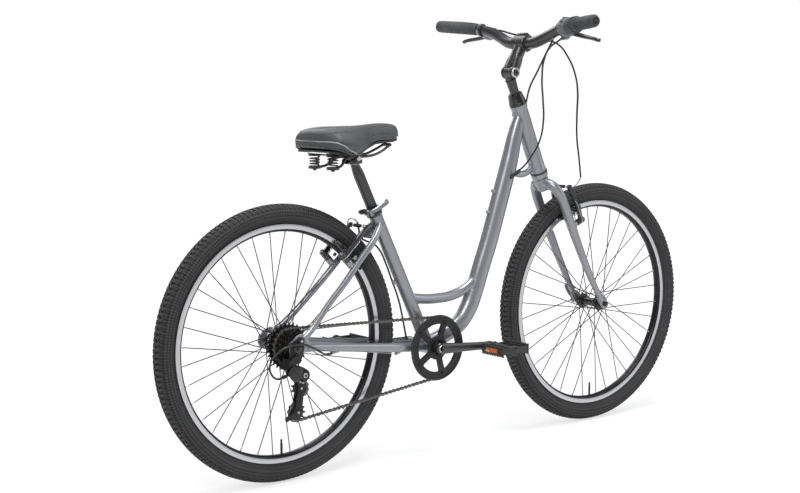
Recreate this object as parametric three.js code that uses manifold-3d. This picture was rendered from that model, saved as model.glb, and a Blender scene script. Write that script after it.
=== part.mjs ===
// A step-through bicycle with seven speeds, rim brakes and a sprung saddle.
// Millimetres, +X to the front, +Y to the rider's left, +Z up.
// The origin is on the ground, midway between the two axles.

import * as THREE from 'three';
import { mergeVertices } from 'three/addons/utils/BufferGeometryUtils.js';
import Module from 'manifold-3d';

const wasm = await Module();
wasm.setup();

// Driving dimensions

const WHEELBASE = 1082;
const WHEEL = { radius: 346, treadHalf: 9, sides: 30, spokes: 36 };
const RIM = { edge: 298, seat: 292, inner: 278, half: 12.5, bedHalf: 10.4 };
const TYRE = { half: 27, centre: 319, bead: 292.6, beadHalf: 9.8 };
const REAR_AXLE = [-WHEELBASE / 2, 0, WHEEL.radius];
const FRONT_AXLE = [WHEELBASE / 2, 0, WHEEL.radius];
const FRONT_LOCKNUT_HALF = 50;
const REAR_LOCKNUT_HALF = 67.5;
const AXLE_RADIUS = 5;

const HEAD_ANGLE = THREE.MathUtils.degToRad(67);
const HEAD_LOWER = [329, 0, 725];
const HEAD = { length: 211, radius: 22, bore: 17.4, steerer: 14.3, steererBore: 13 };
const STACK = { lower: 11, upper: 33 };
const QUILL_RADIUS = 12.6;
const STEM = { hingeUp: 302, hingeAhead: 5, clampUp: 357, clampAhead: 75 };

const BOTTOM_BRACKET = [-81, 0, 290];
const SHELL = { radius: 21, bore: 17.4, half: 34 };
const SEAT_ANGLE = THREE.MathUtils.degToRad(64.3);
const SEAT_FOOT = [-73, 0, 290];
const SEAT_TUBE = { length: 413, radius: 17.4, bore: 14.7, boreDepth: 320 };
const POST = { radius: 14.2, above: 146, below: 172 };

const GAP = 0.3;
const CHAIN = { pitch: 12.7, half: 3.9, roller: 2.5, inner: 1.6, outer: 3.3 };
const RING_TEETH = 40;
const COG_TEETH = [28, 24, 22, 20, 18, 16, 14];
const DRIVEN_COG = 2;
const COG_SPACING = 5;
const RING_LINE = -45;
const COG_LINE = -43;
const JOCKEY_TEETH = 11;
const CRANK = { length: 170, droop: THREE.MathUtils.degToRad(-3.5), line: -66 };
const GUARD = { radius: 87.5, line: -51, half: 1.2 };

const CAGE_PIVOT = [-517, -58, 276];
const UPPER_JOCKEY = [-511, 0, 240];
const LOWER_JOCKEY = [-517, 0, 180];
const HANGER_BOLT = [-546, -74, 320];

const BRAKE_POST = 262;
const ARM = { length: 106, postY: 42 };
const REAR_STAY_BACK = -2;
const BRAKE_STAND_OFF = 45;
const PAD_RADIUS = 290.5;

const SADDLE = { nose: -172, rear: -440, top: 873, half: 104 };

// Materials

const paint = (color, roughness, metalness) => () =>
  new THREE.MeshStandardMaterial({ color, roughness, metalness });
const silver = paint('#a9aab4', 0.36, 0.75);
const blackPaint = paint('#1b1c1e', 0.45, 0.3);
const blackPlastic = paint('#202124', 0.62, 0);
const steel = paint('#b9bbbf', 0.3, 1);
const darkSteel = paint('#57575a', 0.42, 0.9);
const chainSteel = paint('#4d4843', 0.5, 0.85);
const rubber = paint('#2b2c2e', 0.88, 0);
const leatherette = paint('#3a3b3e', 0.7, 0);
const alloy = paint('#9b9da2', 0.35, 0.9);

// Small vector helpers

const vec = p => new THREE.Vector3(...p);
const add = (a, b) => a.map((value, i) => value + b[i]);
const mirrored = p => [p[0], -p[1], p[2]];
const polar = (radius, angle) => [radius * Math.cos(angle), radius * Math.sin(angle)];
const radians = THREE.MathUtils.degToRad;
const TURN = 2 * Math.PI;
const Y_AXIS = new THREE.Vector3(0, 1, 0);
const Z_AXIS = new THREE.Vector3(0, 0, 1);

// Solids and booleans

function bare(geometry) {
  const copy = geometry.clone();
  copy.deleteAttribute('normal');
  copy.deleteAttribute('uv');
  return mergeVertices(copy, 1e-3);
}

function volume(geometry) {
  const at = geometry.attributes.position;
  const index = geometry.index.array;
  const [a, b, c] = [new THREE.Vector3(), new THREE.Vector3(), new THREE.Vector3()];
  let sum = 0;
  for (let i = 0; i < index.length; i += 3) {
    a.fromBufferAttribute(at, index[i]);
    b.fromBufferAttribute(at, index[i + 1]);
    c.fromBufferAttribute(at, index[i + 2]);
    sum += a.dot(b.cross(c));
  }
  return sum / 6;
}

// Merges the shared corners and turns every face to the outside.
function closed(geometry) {
  const solid = bare(geometry);
  if (volume(solid) < 0) {
    const index = solid.index.array;
    for (let i = 0; i < index.length; i += 3) {
      [index[i], index[i + 1]] = [index[i + 1], index[i]];
    }
  }
  return solid;
}

function toManifold(geometry) {
  const solid = closed(geometry);
  return new wasm.Manifold(new wasm.Mesh({
    numProp: 3,
    vertProperties: new Float32Array(solid.attributes.position.array),
    triVerts: new Uint32Array(solid.index.array),
  }));
}

function fromManifold(solid) {
  const mesh = solid.getMesh();
  const geometry = new THREE.BufferGeometry();
  geometry.setAttribute('position', new THREE.BufferAttribute(mesh.vertProperties, 3));
  geometry.setIndex(new THREE.BufferAttribute(mesh.triVerts, 1));
  return geometry;
}

function join(first, ...others) {
  return fromManifold(others.reduce((sum, other) => sum.add(toManifold(other)), toManifold(first)));
}

function cut(first, ...tools) {
  return fromManifold(tools.reduce((rest, tool) => rest.subtract(toManifold(tool)), toManifold(first)));
}

function named(name, geometry, material) {
  const mesh = new THREE.Mesh(closed(geometry), material());
  mesh.geometry.computeVertexNormals();
  mesh.name = name;
  return mesh;
}

// Basic forms

// A straight round bar, or a cone, from point a to point b.
function rod(a, b, radius, sides = 12, radiusAtB = radius) {
  const along = vec(b).sub(vec(a));
  const geometry = new THREE.CylinderGeometry(radiusAtB, radius, along.length(), sides);
  geometry.rotateX(Math.PI / 2);
  geometry.translate(0, 0, along.length() / 2);
  geometry.applyQuaternion(new THREE.Quaternion().setFromUnitVectors(Z_AXIS, along.normalize()));
  return geometry.translate(...a);
}

// A round solid from a towards b, with a radius at each distance from a.
function turnedRod(a, b, stations, sides) {
  const ends = [stations[0], stations[stations.length - 1]].map(([distance]) => [distance, 0]);
  const profile = [ends[0], ...stations, ends[1]].map(([distance, r]) => new THREE.Vector2(r, distance));
  const geometry = new THREE.LatheGeometry(profile, sides);
  geometry.applyQuaternion(new THREE.Quaternion().setFromUnitVectors(Y_AXIS, vec(b).sub(vec(a)).normalize()));
  return geometry.translate(...a);
}

// A bar across the bicycle, from one y to the other.
const crossBar = ([x, , z], y0, y1, radius, sides = 12) => rod([x, y0, z], [x, y1, z], radius, sides);

function box(size, centre, tilt = 0) {
  const geometry = new THREE.BoxGeometry(...size);
  geometry.rotateY(tilt);
  return geometry.translate(...centre);
}

// A section of the given radius and axial place, turned about a cross-wise axis.
function turned(profile, centre, sides) {
  const points = [...profile, profile[0]].map(([r, y]) => new THREE.Vector2(r, y));
  return new THREE.LatheGeometry(points, sides).translate(...centre);
}

// A section of the given radius and height, turned about the upright axis.
function sleeve(profile, sides) {
  const points = [...profile, profile[0]].map(([r, up]) => new THREE.Vector2(r, up));
  return new THREE.LatheGeometry(points, sides).rotateX(Math.PI / 2);
}

// A flat plate drawn in the plane of the wheels, from y0 to y1.
function plate(outline, y0, y1, holes = []) {
  const shape = new THREE.Shape(outline.map(([x, z]) => new THREE.Vector2(x, z)));
  for (const hole of holes) {
    shape.holes.push(new THREE.Path(hole.map(([x, z]) => new THREE.Vector2(x, z))));
  }
  const geometry = new THREE.ExtrudeGeometry(shape, { depth: y1 - y0, bevelEnabled: false });
  geometry.rotateX(Math.PI / 2);
  return geometry.translate(0, y1, 0);
}

const circle = ([x, z], radius, sides, start = 0) => Array.from({ length: sides }, (_, i) => {
  const [dx, dz] = polar(radius, start + (i / sides) * TURN);
  return [x + dx, z + dz];
});

// The outline of a strap round two circles.
function strap([x0, z0], r0, [x1, z1], r1, steps = 5) {
  const heading = Math.atan2(z1 - z0, x1 - x0);
  const lean = Math.acos((r0 - r1) / Math.hypot(x1 - x0, z1 - z0));
  const points = [];
  for (let i = 0; i <= steps; i += 1) {
    const [dx, dz] = polar(r1, heading - lean + (i / steps) * 2 * lean);
    points.push([x1 + dx, z1 + dz]);
  }
  for (let i = 0; i <= steps; i += 1) {
    const [dx, dz] = polar(r0, heading + lean + (i / steps) * (TURN - 2 * lean));
    points.push([x0 + dx, z0 + dz]);
  }
  return points;
}

// A round or oval bar along a smooth curve, or a flat-sided one with four sides. The section's
// half-width and half-height at each place along it come from sizeAt, measured across and along
// the upward direction.
function sweep(points, sides, steps, sizeAt, upward = Y_AXIS) {
  const curve = new THREE.CatmullRomCurve3(points.map(vec), false, 'centripetal');
  const section = sides === 4 ? circle([0, 0], Math.SQRT2, 4, Math.PI / 4) : circle([0, 0], 1, sides);
  const disc = new THREE.Shape(section.map(([x, y]) => new THREE.Vector2(x, y)));
  const geometry = new THREE.ExtrudeGeometry(disc, { depth: 1, steps, bevelEnabled: false });
  const corners = geometry.attributes.position;
  for (let i = 0; i < corners.count; i += 1) {
    const t = Math.round(corners.getZ(i) * steps) / steps;
    const centre = curve.getPointAt(t);
    const ahead = curve.getTangentAt(t);
    const across = upward.clone().cross(ahead).normalize();
    const up = ahead.clone().cross(across);
    const [halfAcross, halfUp] = sizeAt(t);
    centre.addScaledVector(across, corners.getX(i) * halfAcross);
    centre.addScaledVector(up, corners.getY(i) * halfUp);
    corners.setXYZ(i, ...centre.toArray());
  }
  return geometry;
}

const evenly = radius => () => [radius, radius];
const blend = (a, b, t) => a + (b - a) * t;

// Wheels

const bothSides = side => [...side, ...side.map(([r, y]) => [r, -y]).reverse()];

// Half of each section, from the hub side outwards and back, is mirrored for the other half.
const tyreSection = () => {
  const { half, centre, bead, beadHalf } = TYRE;
  const outer = [[bead, beadHalf], [RIM.edge + 0.5, beadHalf], [centre, half], [WHEEL.radius, WHEEL.treadHalf]];
  const air = [[bead, 3 - beadHalf], [centre + 14, 0], [bead, beadHalf - 3]];
  return [...bothSides(outer), ...air];
};

const rimSection = () => {
  const { edge, seat, inner, half, bedHalf } = RIM;
  return bothSides([[inner, 7], [284, half], [edge, half], [seat, bedHalf]]);
};

// The J-bent spokes run to the rim in the three-cross pattern, a quarter of them each way
// from each flange.
function spokes(hub) {
  const bars = [];
  for (let hole = 0; hole < WHEEL.spokes; hole += 1) {
    const leftSide = hole % 2 === 0;
    const lean = Math.floor(hole / 2) % 2 === 0 ? 1 : -1;
    const rimAngle = radians(5 + 10 * hole);
    const hubAngle = rimAngle + lean * radians(60);
    const flange = leftSide ? hub.leftFlange : hub.rightFlange;
    const [hx, hz] = polar(hub.flangeRadius - 2, hubAngle);
    const [rx, rz] = polar(RIM.inner * Math.cos(Math.PI / WHEEL.sides) - GAP, rimAngle);
    const reach = leftSide ? 2.5 : -2.5;
    bars.push(rod([hx, flange + lean * 1.4, hz], [rx, reach, rz], 1, 3));
  }
  return bars;
}

function hubShell({ leftFlange, rightFlange, flangeRadius, barrel, bore, leftEnd, rightEnd, endRadius }) {
  const half = 2.5;
  return turned([
    [bore, leftEnd], [endRadius, leftEnd], [endRadius, leftFlange + half],
    [flangeRadius, leftFlange + half], [flangeRadius, leftFlange - half], [barrel, leftFlange - half],
    [barrel, rightFlange + half], [flangeRadius, rightFlange + half],
    [flangeRadius, rightFlange - half], [endRadius, rightEnd], [bore, rightEnd],
  ], [0, 0, 0], 12);
}

const FRONT_HUB = {
  leftFlange: 33, rightFlange: -33, flangeRadius: 21, barrel: 12, bore: 6, endRadius: 11,
  leftEnd: 46, rightEnd: -46,
};
const REAR_HUB = {
  leftFlange: 34, rightFlange: -21, flangeRadius: 24, barrel: 15, bore: 6, endRadius: 13,
  leftEnd: 60, rightEnd: -25.6,
};

function wheel(prefix, hub) {
  const group = new THREE.Group();
  const valve = rod([0, 0, -RIM.inner - 4], [0, 0, -RIM.inner + 38], 3, 6, 2.6);
  const tyre = turned(tyreSection(), [0, 0, 0], WHEEL.sides);
  const rim = join(turned(rimSection(), [0, 0, 0], WHEEL.sides), valve);
  group.add(named(`${prefix}_tyre`, tyre, rubber));
  group.add(named(`${prefix}_rim`, rim, blackPaint));
  group.add(named(`${prefix}_spoked_hub`, join(hubShell(hub), ...spokes(hub)), darkSteel));
  return group;
}

// An axle with a locknut inside each frame end, and the ends outside it.
function axle(locknutHalf, outerHalf, nutRadius) {
  const shaft = crossBar([0, 0, 0], -outerHalf, outerHalf, AXLE_RADIUS, 8);
  const nuts = [-1, 1].map(side => {
    const inner = side * (locknutHalf - GAP);
    return crossBar([0, 0, 0], Math.min(inner, inner - side * 2.6), Math.max(inner, inner - side * 2.6), 9, 6);
  });
  const outer = side => {
    const [y0, y1] = [side * (locknutHalf + 6.4), side * outerHalf].sort((a, b) => a - b);
    return crossBar([0, 0, 0], y0, y1, nutRadius, 6);
  };
  return { shaft, nuts, outer };
}

// Frame

const upSeatTube = distance => [
  SEAT_FOOT[0] - distance * Math.cos(SEAT_ANGLE), 0, SEAT_FOOT[2] + distance * Math.sin(SEAT_ANGLE),
];

const HEAD_TILT = HEAD_ANGLE - Math.PI / 2;
const atHead = (ahead, y, up) => [
  HEAD_LOWER[0] + ahead * Math.sin(HEAD_ANGLE) - up * Math.cos(HEAD_ANGLE),
  y,
  HEAD_LOWER[2] + ahead * Math.cos(HEAD_ANGLE) + up * Math.sin(HEAD_ANGLE),
];

const DOWN_TUBE_ROUTE = [
  [258, 0, 893], [240, 0, 850], [216, 0, 765], [181, 0, 662], [144, 0, 555], [112, 0, 475],
  [92, 0, 422], [70, 0, 376], [38, 0, 338], [-12, 0, 312], [-81, 0, 290],
];
const downTubeSize = grow => t => {
  const depth = t < 0.2 ? blend(19, 26, t / 0.2) : blend(26, 21, Math.max(0, t - 0.75) / 0.25);
  return [depth + grow, blend(18.5, 21.5, t) + grow];
};
const downTubeForm = (grow = 0) => sweep(DOWN_TUBE_ROUTE, 10, 12, downTubeSize(grow));
const seatTubeForm = (grow = 0) => rod(SEAT_FOOT, upSeatTube(SEAT_TUBE.length), SEAT_TUBE.radius + grow, 12);
const headTubeForm = (grow = 0) => rod(atHead(0, 0, -2), atHead(0, 0, HEAD.length + 2), HEAD.radius + grow, 12);
const shellForm = (grow = 0) => crossBar(BOTTOM_BRACKET, -SHELL.half - grow, SHELL.half + grow,
  SHELL.radius + grow, 14);

// The head tube holds the pressed lower bearing cup of the headset.
function headTube() {
  const { length, radius, bore, steerer } = HEAD;
  const flare = radius + 2;
  const cupBore = steerer + 0.5;
  const cupDepth = 12;
  const tube = sleeve([
    [cupBore, -STACK.lower], [flare - 3, -STACK.lower], [flare, -4], [radius, 14], [radius, length - 14],
    [flare, length], [bore, length], [bore, cupDepth], [cupBore, cupDepth],
  ], 12).rotateY(HEAD_TILT).translate(...HEAD_LOWER);
  const strut = sweep([[222, 0, 740], [252, 0, 729], [280, 0, 733], [304, 0, 750]], 8, 4, evenly(9));
  const inside = rod(atHead(0, 0, cupDepth), atHead(0, 0, length), bore, 12);
  return join(tube, cut(strut, downTubeForm(GAP), inside));
}

function bottleBosses() {
  return [[172, 0, 682], [154, 0, 626]].map(foot => rod(foot, add(foot, [-17, 0, 6]), 5, 8));
}

// The down tube has the bottle bosses on its rear side and an oval port for a cable.
function downTube() {
  const port = rod([218, -40, 742], [200, -10, 720], 4.5, 6);
  const tube = cut(downTubeForm(), headTubeForm(2 + GAP), shellForm(GAP), port);
  return join(tube, ...bottleBosses());
}

const BRACE_ROUTE = [[-142, 0, 424], [-92, 0, 415], [-40, 0, 412], [10, 0, 415], [58, 0, 430], [92, 0, 452]];
const braceTube = () => cut(sweep(BRACE_ROUTE, 8, 6, evenly(13.5)), downTubeForm(GAP), seatTubeForm(GAP));

function seatTube() {
  const top = upSeatTube(SEAT_TUBE.length);
  const bottom = upSeatTube(SEAT_TUBE.length - SEAT_TUBE.boreDepth);
  const guide = box([9, 7, 12], add(upSeatTube(208), [-19, 0, -9]), radians(25));
  const bore = rod(bottom, add(top, [-4, 0, 8.3]), SEAT_TUBE.bore, 12);
  return cut(join(seatTubeForm(), guide), bore, shellForm(GAP), downTubeForm(GAP));
}

const bottomBracketShell = () => cut(shellForm(), crossBar(BOTTOM_BRACKET, -50, 50, SHELL.bore, 14));

const CHAINSTAY_ROUTE = [
  [-84, 19, 291], [-128, 25, 294], [-166, 31, 298], [-196, 39, 302], [-222, 44, 306], [-300, 49, 316],
  [-400, 56, 329], [-470, 61.5, 338], [-508, 68.5, 343],
];
const chainstaySize = t => [blend(9, 8, t), blend(12.5, 9.5, t)];

// The frame end is a plate with a slot for the axle, open to the front and below.
function dropout(side, withHanger) {
  const [ax, , az] = REAR_AXLE;
  const outline = [
    [ax + 44, az + 8], [ax + 30, az + 22], [ax + 16, az + 33], [ax + 2, az + 28], [ax - 14, az + 14],
    [ax - 18, az - 4], [ax - 12, az - 17], [ax + 4, az - 18], [ax + 20, az - 13], [ax + 44, az - 14],
  ];
  if (withHanger) {
    outline.splice(
      6, 2, [ax - 16, az - 20], [ax - 15, az - 32], [ax - 4, az - 37], [ax + 5, az - 31], [ax + 7, az - 18],
    );
  }
  const slot = strap([ax, az], AXLE_RADIUS + 1.1, [ax + 8, az - 24], AXLE_RADIUS + 1.11, 3);
  const inner = REAR_LOCKNUT_HALF;
  const [y0, y1] = side > 0 ? [inner, inner + 6] : [-inner - 6, -inner];
  const eyelet = circle([ax + 13, az + 17], 2.6, 6);
  const body = plate(outline, y0, y1, [eyelet]);
  return withHanger ? cut(body, crossBar([ax, 0, az], -90, -50, AXLE_RADIUS + 0.6, 8)) :
    cut(body, plate(slot, y0 - 2, y1 + 2));
}

function chainstays() {
  const stays = [1, -1].map(side => {
    const route = CHAINSTAY_ROUTE.map(([x, y, z]) => [x, side * y, z]);
    return join(sweep(route, 8, 6, chainstaySize, Z_AXIS), dropout(side, side < 0));
  });
  const bridge = crossBar([-180, 0, 300], -38, 38, 8, 6);
  const stops = [
    rod([-428, -58, 318.5], [-400, -55.5, 321.5], 4.2, 6),
    rod([-214, -43, 288.5], [-196, -38, 291], 4, 6),
  ];
  return cut(join(stays[0], stays[1], bridge, ...stops), shellForm(GAP), seatTubeForm(GAP));
}

const SEATSTAY_ROUTE = [
  [-519, 71, 366], [-500, 67, 376], [-472, 59, 398], [-425, 51, 443], [-374, 47, 490], [-328, 42.5, 537],
  [-299, 39, 564], [-273, 33, 588], [-255, 25, 606], [-240, 14, 622], [-232, 0, 632],
];
const seatstaySize = t => [blend(5.8, 8.5, Math.min(1, 5 * t)), blend(7.5, 9.5, t)];

const BRAKE_HEADING = radians(42);
const outFromRearAxle = (out, back, y = 0) => [
  REAR_AXLE[0] + out * Math.cos(BRAKE_HEADING) - back * Math.sin(BRAKE_HEADING),
  y,
  REAR_AXLE[2] + out * Math.sin(BRAKE_HEADING) + back * Math.cos(BRAKE_HEADING),
];

function seatstays() {
  const parts = [];
  for (const side of [1, -1]) {
    const route = SEATSTAY_ROUTE.map(([x, y, z]) => [x, side * y, z]);
    parts.push(sweep(route, 8, 7, seatstaySize, Z_AXIS));
    const alongPost = back => outFromRearAxle(BRAKE_POST, back, side * ARM.postY);
    parts.push(rod(alongPost(-4), alongPost(22), 8, 6, 6.6));
    parts.push(rod(alongPost(18), alongPost(54), 4, 6));
  }
  const plateAt = outFromRearAxle(383, -4);
  parts.push(box([30, 48, 4], plateAt, -radians(48)));
  return cut(join(...parts), seatTubeForm(GAP), dropoutSpace(1), dropoutSpace(-1));
}

// The room that a dropout plate takes, with a small clearance, and all outside it.
function dropoutSpace(side) {
  const [ax, , az] = REAR_AXLE;
  const outline = [
    [ax - 30, az - 40], [ax + 46, az - 40], [ax + 46, az + 9], [ax + 18, az + 36], [ax - 8, az + 36],
  ];
  const [inner, outer] = [REAR_LOCKNUT_HALF - GAP, REAR_LOCKNUT_HALF + 20];
  return side > 0 ? plate(outline, inner, outer) : plate(outline, -outer, -inner);
}


// Fork, headset and stem, drawn along the steering axis: x ahead, z up the axis, from the
// lower end of the head tube.

const alongX = FRONT_AXLE[0] - HEAD_LOWER[0];
const alongZ = FRONT_AXLE[2] - HEAD_LOWER[2];
const RAKE = alongX * Math.sin(HEAD_ANGLE) + alongZ * Math.cos(HEAD_ANGLE);
const FORK_END = -alongX * Math.cos(HEAD_ANGLE) + alongZ * Math.sin(HEAD_ANGLE);
const LEG_ROUTE = [
  [0, 2, -26], [2, 20, -28], [6, 38, -40], [10, 48, -66], [13, 51, -120], [17, 51, -200],
  [26, 51.5, -310], [36, 53, -385], [44, 54, -418],
];
const FRONT_LEG_BACK = -30;
const HEADSET_TOP = HEAD.length + STACK.upper;

function forkEnd(side) {
  const faces = [side * FRONT_LOCKNUT_HALF, side * (FRONT_LOCKNUT_HALF + 6)];
  const [y0, y1] = side > 0 ? faces : faces.reverse();
  const tab = strap([RAKE - 5, FORK_END + 22], 8, [RAKE, FORK_END], 13, 4);
  const slot = strap([RAKE, FORK_END], AXLE_RADIUS + 1.1, [RAKE + 3, FORK_END - 20], AXLE_RADIUS + 1.11, 3);
  return cut(plate(tab, y0, y1), plate(slot, y0 - 2, y1 + 2));
}

function fork() {
  const steerer = rod([0, 0, -30], [0, 0, HEADSET_TOP - 5], HEAD.steerer, 12);
  const crown = rod([0, 0, -46], [0, 0, -STACK.lower - GAP], 17, 12, 21);
  const parts = [steerer, crown];
  for (const side of [1, -1]) {
    const route = LEG_ROUTE.map(([x, y, z]) => [x, side * y, z]);
    parts.push(sweep(route, 8, 7, t => [blend(14.5, 7.5, t), blend(13.5, 8, t)], Y_AXIS));
    const postAt = x => [RAKE + x, side * ARM.postY, FORK_END + BRAKE_POST];
    parts.push(rod(postAt(FRONT_LEG_BACK + 2), postAt(FRONT_LEG_BACK + 24), 9, 6, 6.6));
    parts.push(rod(postAt(FRONT_LEG_BACK + 20), postAt(FRONT_LEG_BACK + 56), 4, 6));
    parts.push(forkEnd(side));
  }
  return cut(join(...parts), rod([0, 0, -80], [0, 0, HEADSET_TOP + 9], HEAD.steererBore, 12));
}

const headsetUpper = () => sleeve([
  [HEAD.steerer + 0.5, HEAD.length + GAP], [24, HEAD.length + GAP], [24, HEAD.length + 9],
  [18, HEADSET_TOP], [13.3, HEADSET_TOP], [13.3, HEADSET_TOP - 4.4], [HEAD.steerer + 0.5, HEADSET_TOP - 4.4],
], 12);

const HINGE = [STEM.hingeAhead, 0, STEM.hingeUp];
const CLAMP = [STEM.clampAhead, 0, STEM.clampUp];
const KNUCKLE = { radius: 17, half: 11, cheek: 19 };
const HINGE_BOLT = 5;

function stemQuill() {
  const foot = 120;
  const quill = turnedRod([0, 0, foot], [0, 0, HINGE[2]],
    [[0, QUILL_RADIUS], [HEADSET_TOP + 6 - foot, QUILL_RADIUS], [HINGE[2] - 19.5 - foot, 14]], 12);
  const knuckle = crossBar(HINGE, -KNUCKLE.half, KNUCKLE.half, KNUCKLE.radius, 10);
  const shoulder = box([22, 2 * KNUCKLE.half, 26], add(HINGE, [-5, 0, -13]));
  return cut(join(quill, knuckle, shoulder), crossBar(HINGE, -40, 40, HINGE_BOLT + 4 * GAP, 8));
}

function stemArm() {
  const reach = [CLAMP[0] - HINGE[0], 0, CLAMP[2] - HINGE[2]];
  const part = t => add(HINGE, reach.map(value => value * t));
  const cheeks = crossBar(HINGE, -KNUCKLE.cheek, KNUCKLE.cheek, KNUCKLE.radius, 10);
  const beam = sweep([part(0.02), part(0.5), part(0.98)], 8, 2, t => [blend(17, 16, t), blend(19, 17.5, t)]);
  const clamp = crossBar(CLAMP, -23, 23, 22, 10);
  const room = crossBar(HINGE, -KNUCKLE.half - GAP, KNUCKLE.half + GAP, KNUCKLE.radius + 1.2, 10);
  const wedge = box([52, 2 * (KNUCKLE.half + GAP), 40], add(HINGE, [-13, 0, -23]), radians(20));
  const bore = crossBar(HINGE, -40, 40, HINGE_BOLT + GAP, 8);
  return cut(join(cheeks, beam, clamp), room, wedge, bore, handlebarForm(GAP));
}

const stemHingeBolt = () => join(
  crossBar(HINGE, -KNUCKLE.cheek - 2, KNUCKLE.cheek + 2, HINGE_BOLT, 8),
  crossBar(HINGE, -KNUCKLE.cheek - 6.5, -KNUCKLE.cheek - GAP, 14, 10),
  crossBar(HINGE, KNUCKLE.cheek + GAP, KNUCKLE.cheek + 4.5, 12, 10),
);

// Handlebar, grips, shifter and brake levers, on the same axes as the fork

const BAR_SIDE = [
  [75, 26, 357], [77, 52, 359], [88, 95, 371], [93, 132, 384], [92, 165, 392], [86, 205, 400],
  [74, 262, 410], [62, 313, 419],
];
const BAR_ROUTE = [...BAR_SIDE.map(mirrored).reverse(), [75, 0, 357], ...BAR_SIDE];
const BAR_TUBE = { end: 11.1, middle: 15.9 };
const barCurve = new THREE.CatmullRomCurve3(BAR_ROUTE.map(vec), false, 'centripetal');
const barSize = grow => t => {
  const fromMiddle = Math.abs(t - 0.5) * 2;
  const radius = blend(BAR_TUBE.middle, BAR_TUBE.end, THREE.MathUtils.smoothstep(fromMiddle, 0.12, 0.4));
  return [radius + grow, radius + grow];
};
const handlebarForm = (grow = 0) => sweep(BAR_ROUTE, 8, 20, barSize(grow), Z_AXIS);

// The length fraction along the bar at which it is so far across, from the left end's side.
function barPlace(y) {
  let [low, high] = [0, 1];
  for (let i = 0; i < 40; i += 1) {
    const middle = (low + high) / 2;
    if (barCurve.getPointAt(middle).y < y) low = middle;
    else high = middle;
  }
  return barCurve.getPointAt(low).toArray();
}

// A sleeve on the bar, given as radii at places across the bicycle.
function barSleeve(stations, sides = 10) {
  const route = stations.map(([y]) => barPlace(y));
  const steps = stations.length - 1;
  const lengths = new THREE.CatmullRomCurve3(route.map(vec), false, 'centripetal');
  const radiusAt = t => {
    const y = lengths.getPointAt(t).y;
    const next = Math.max(1, stations.findIndex(([place]) => place > y - 1e-6));
    const [[y0, r0], [y1, r1]] = [stations[next - 1], stations[next]];
    const radius = blend(r0, r1, THREE.MathUtils.clamp((y - y0) / (y1 - y0), 0, 1));
    return [radius, radius];
  };
  return sweep(route, sides, steps, radiusAt, Z_AXIS);
}

const hollowed = form => cut(form, handlebarForm(GAP));

const leftGrip = () => hollowed(barSleeve([[181, 15.5], [215, 15.5], [265, 17], [311, 16], [319, 11]]));
const rightGrip = () => hollowed(barSleeve([[-319, 11], [-311, 16], [-265, 17], [-230, 15.5]]));
const TWIST_BORE = 13.2;
// The twist grip turns on a straight bore, on the chord of the bar inside it.
function twistGrip() {
  const [start, stop] = [barPlace(-229), barPlace(-187)];
  const along = vec(stop).sub(vec(start));
  const bore = rod(vec(start).sub(along).toArray(), vec(stop).add(along).toArray(), TWIST_BORE, 12);
  return cut(barSleeve([[-229, 17], [-221, 20.5], [-193, 22.5], [-187, 21]], 12), bore);
}

const SPOUT_END = add(barPlace(-171), [1, 34, -33]);

function shifterBody() {
  const drum = barSleeve([[-184.5, 22], [-179, 25], [-166, 25], [-160, 19]], 12);
  const spout = rod(add(barPlace(-171), [0, -5, -18]), SPOUT_END, 5, 6, 3.8);
  return hollowed(join(drum, spout));
}

const LEVER = {
  clampY: { left: 171, right: 150 },
  pivotDrop: [27, 0, -22],
  axis: new THREE.Vector3(0.86, 0, 0.51),
};
const leverY = side => (side > 0 ? LEVER.clampY.left : -LEVER.clampY.right);
const leverPivot = side => {
  const [x, y, z] = barPlace(leverY(side));
  return [x + LEVER.pivotDrop[0], y, z + LEVER.pivotDrop[2]];
};
const alongLeverAxis = (point, length) => [
  point[0] + length * LEVER.axis.x, point[1], point[2] + length * LEVER.axis.z,
];

// A clamp on the bar, an arm with two cheeks for the lever, its pin, and the barrel for the cable.
function leverBracket(side) {
  const inward = -side;
  const y = leverY(side);
  const ring = barSleeve([[y - 8, 17], [y + 8, 17]]);
  const [x, , z] = barPlace(y);
  const pivot = leverPivot(side);
  const arm = sweep([[x + 6, y + inward * 3, z - 8], add(pivot, [5, inward * 2, -4])], 4, 1, () => [7, 11]);
  const barrel = rod([x + 20, y + inward * 6, z - 13], [x + 18, y + inward * 36, z - 8], 6.5, 6, 4.2);
  const tilt = Math.PI / 2 - Math.atan2(LEVER.axis.z, LEVER.axis.x);
  const room = box([27, 46, 15.2], add(pivot, [3, side * 10, -4]), tilt);
  const pin = rod(alongLeverAxis(pivot, -10), alongLeverAxis(pivot, 10), 2.4, 6);
  return hollowed(join(cut(join(ring, arm, barrel), room), pin));
}

function brakeLever(side) {
  const pivot = leverPivot(side);
  const at = ([x, y, z]) => add(pivot, [x, side * y, z]);
  const hub = rod(alongLeverAxis(pivot, -6.4), alongLeverAxis(pivot, 6.4), 8, 8);
  const blade = sweep([
    at([0, 0, 0]), at([5, 16, -7]), at([4, 38, -12]), at([-4, 70, -14]), at([-12, 96, -15]),
    at([-9, 108, -18]),
  ], 6, 6, t => [blend(6, 4.5, t), blend(6.2, 5, t)], LEVER.axis);
  return cut(join(hub, blade), rod(alongLeverAxis(pivot, -20), alongLeverAxis(pivot, 20), 3, 6));
}

// Rim brakes, drawn from the axle: x away from the stay or leg, z out along it

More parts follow.
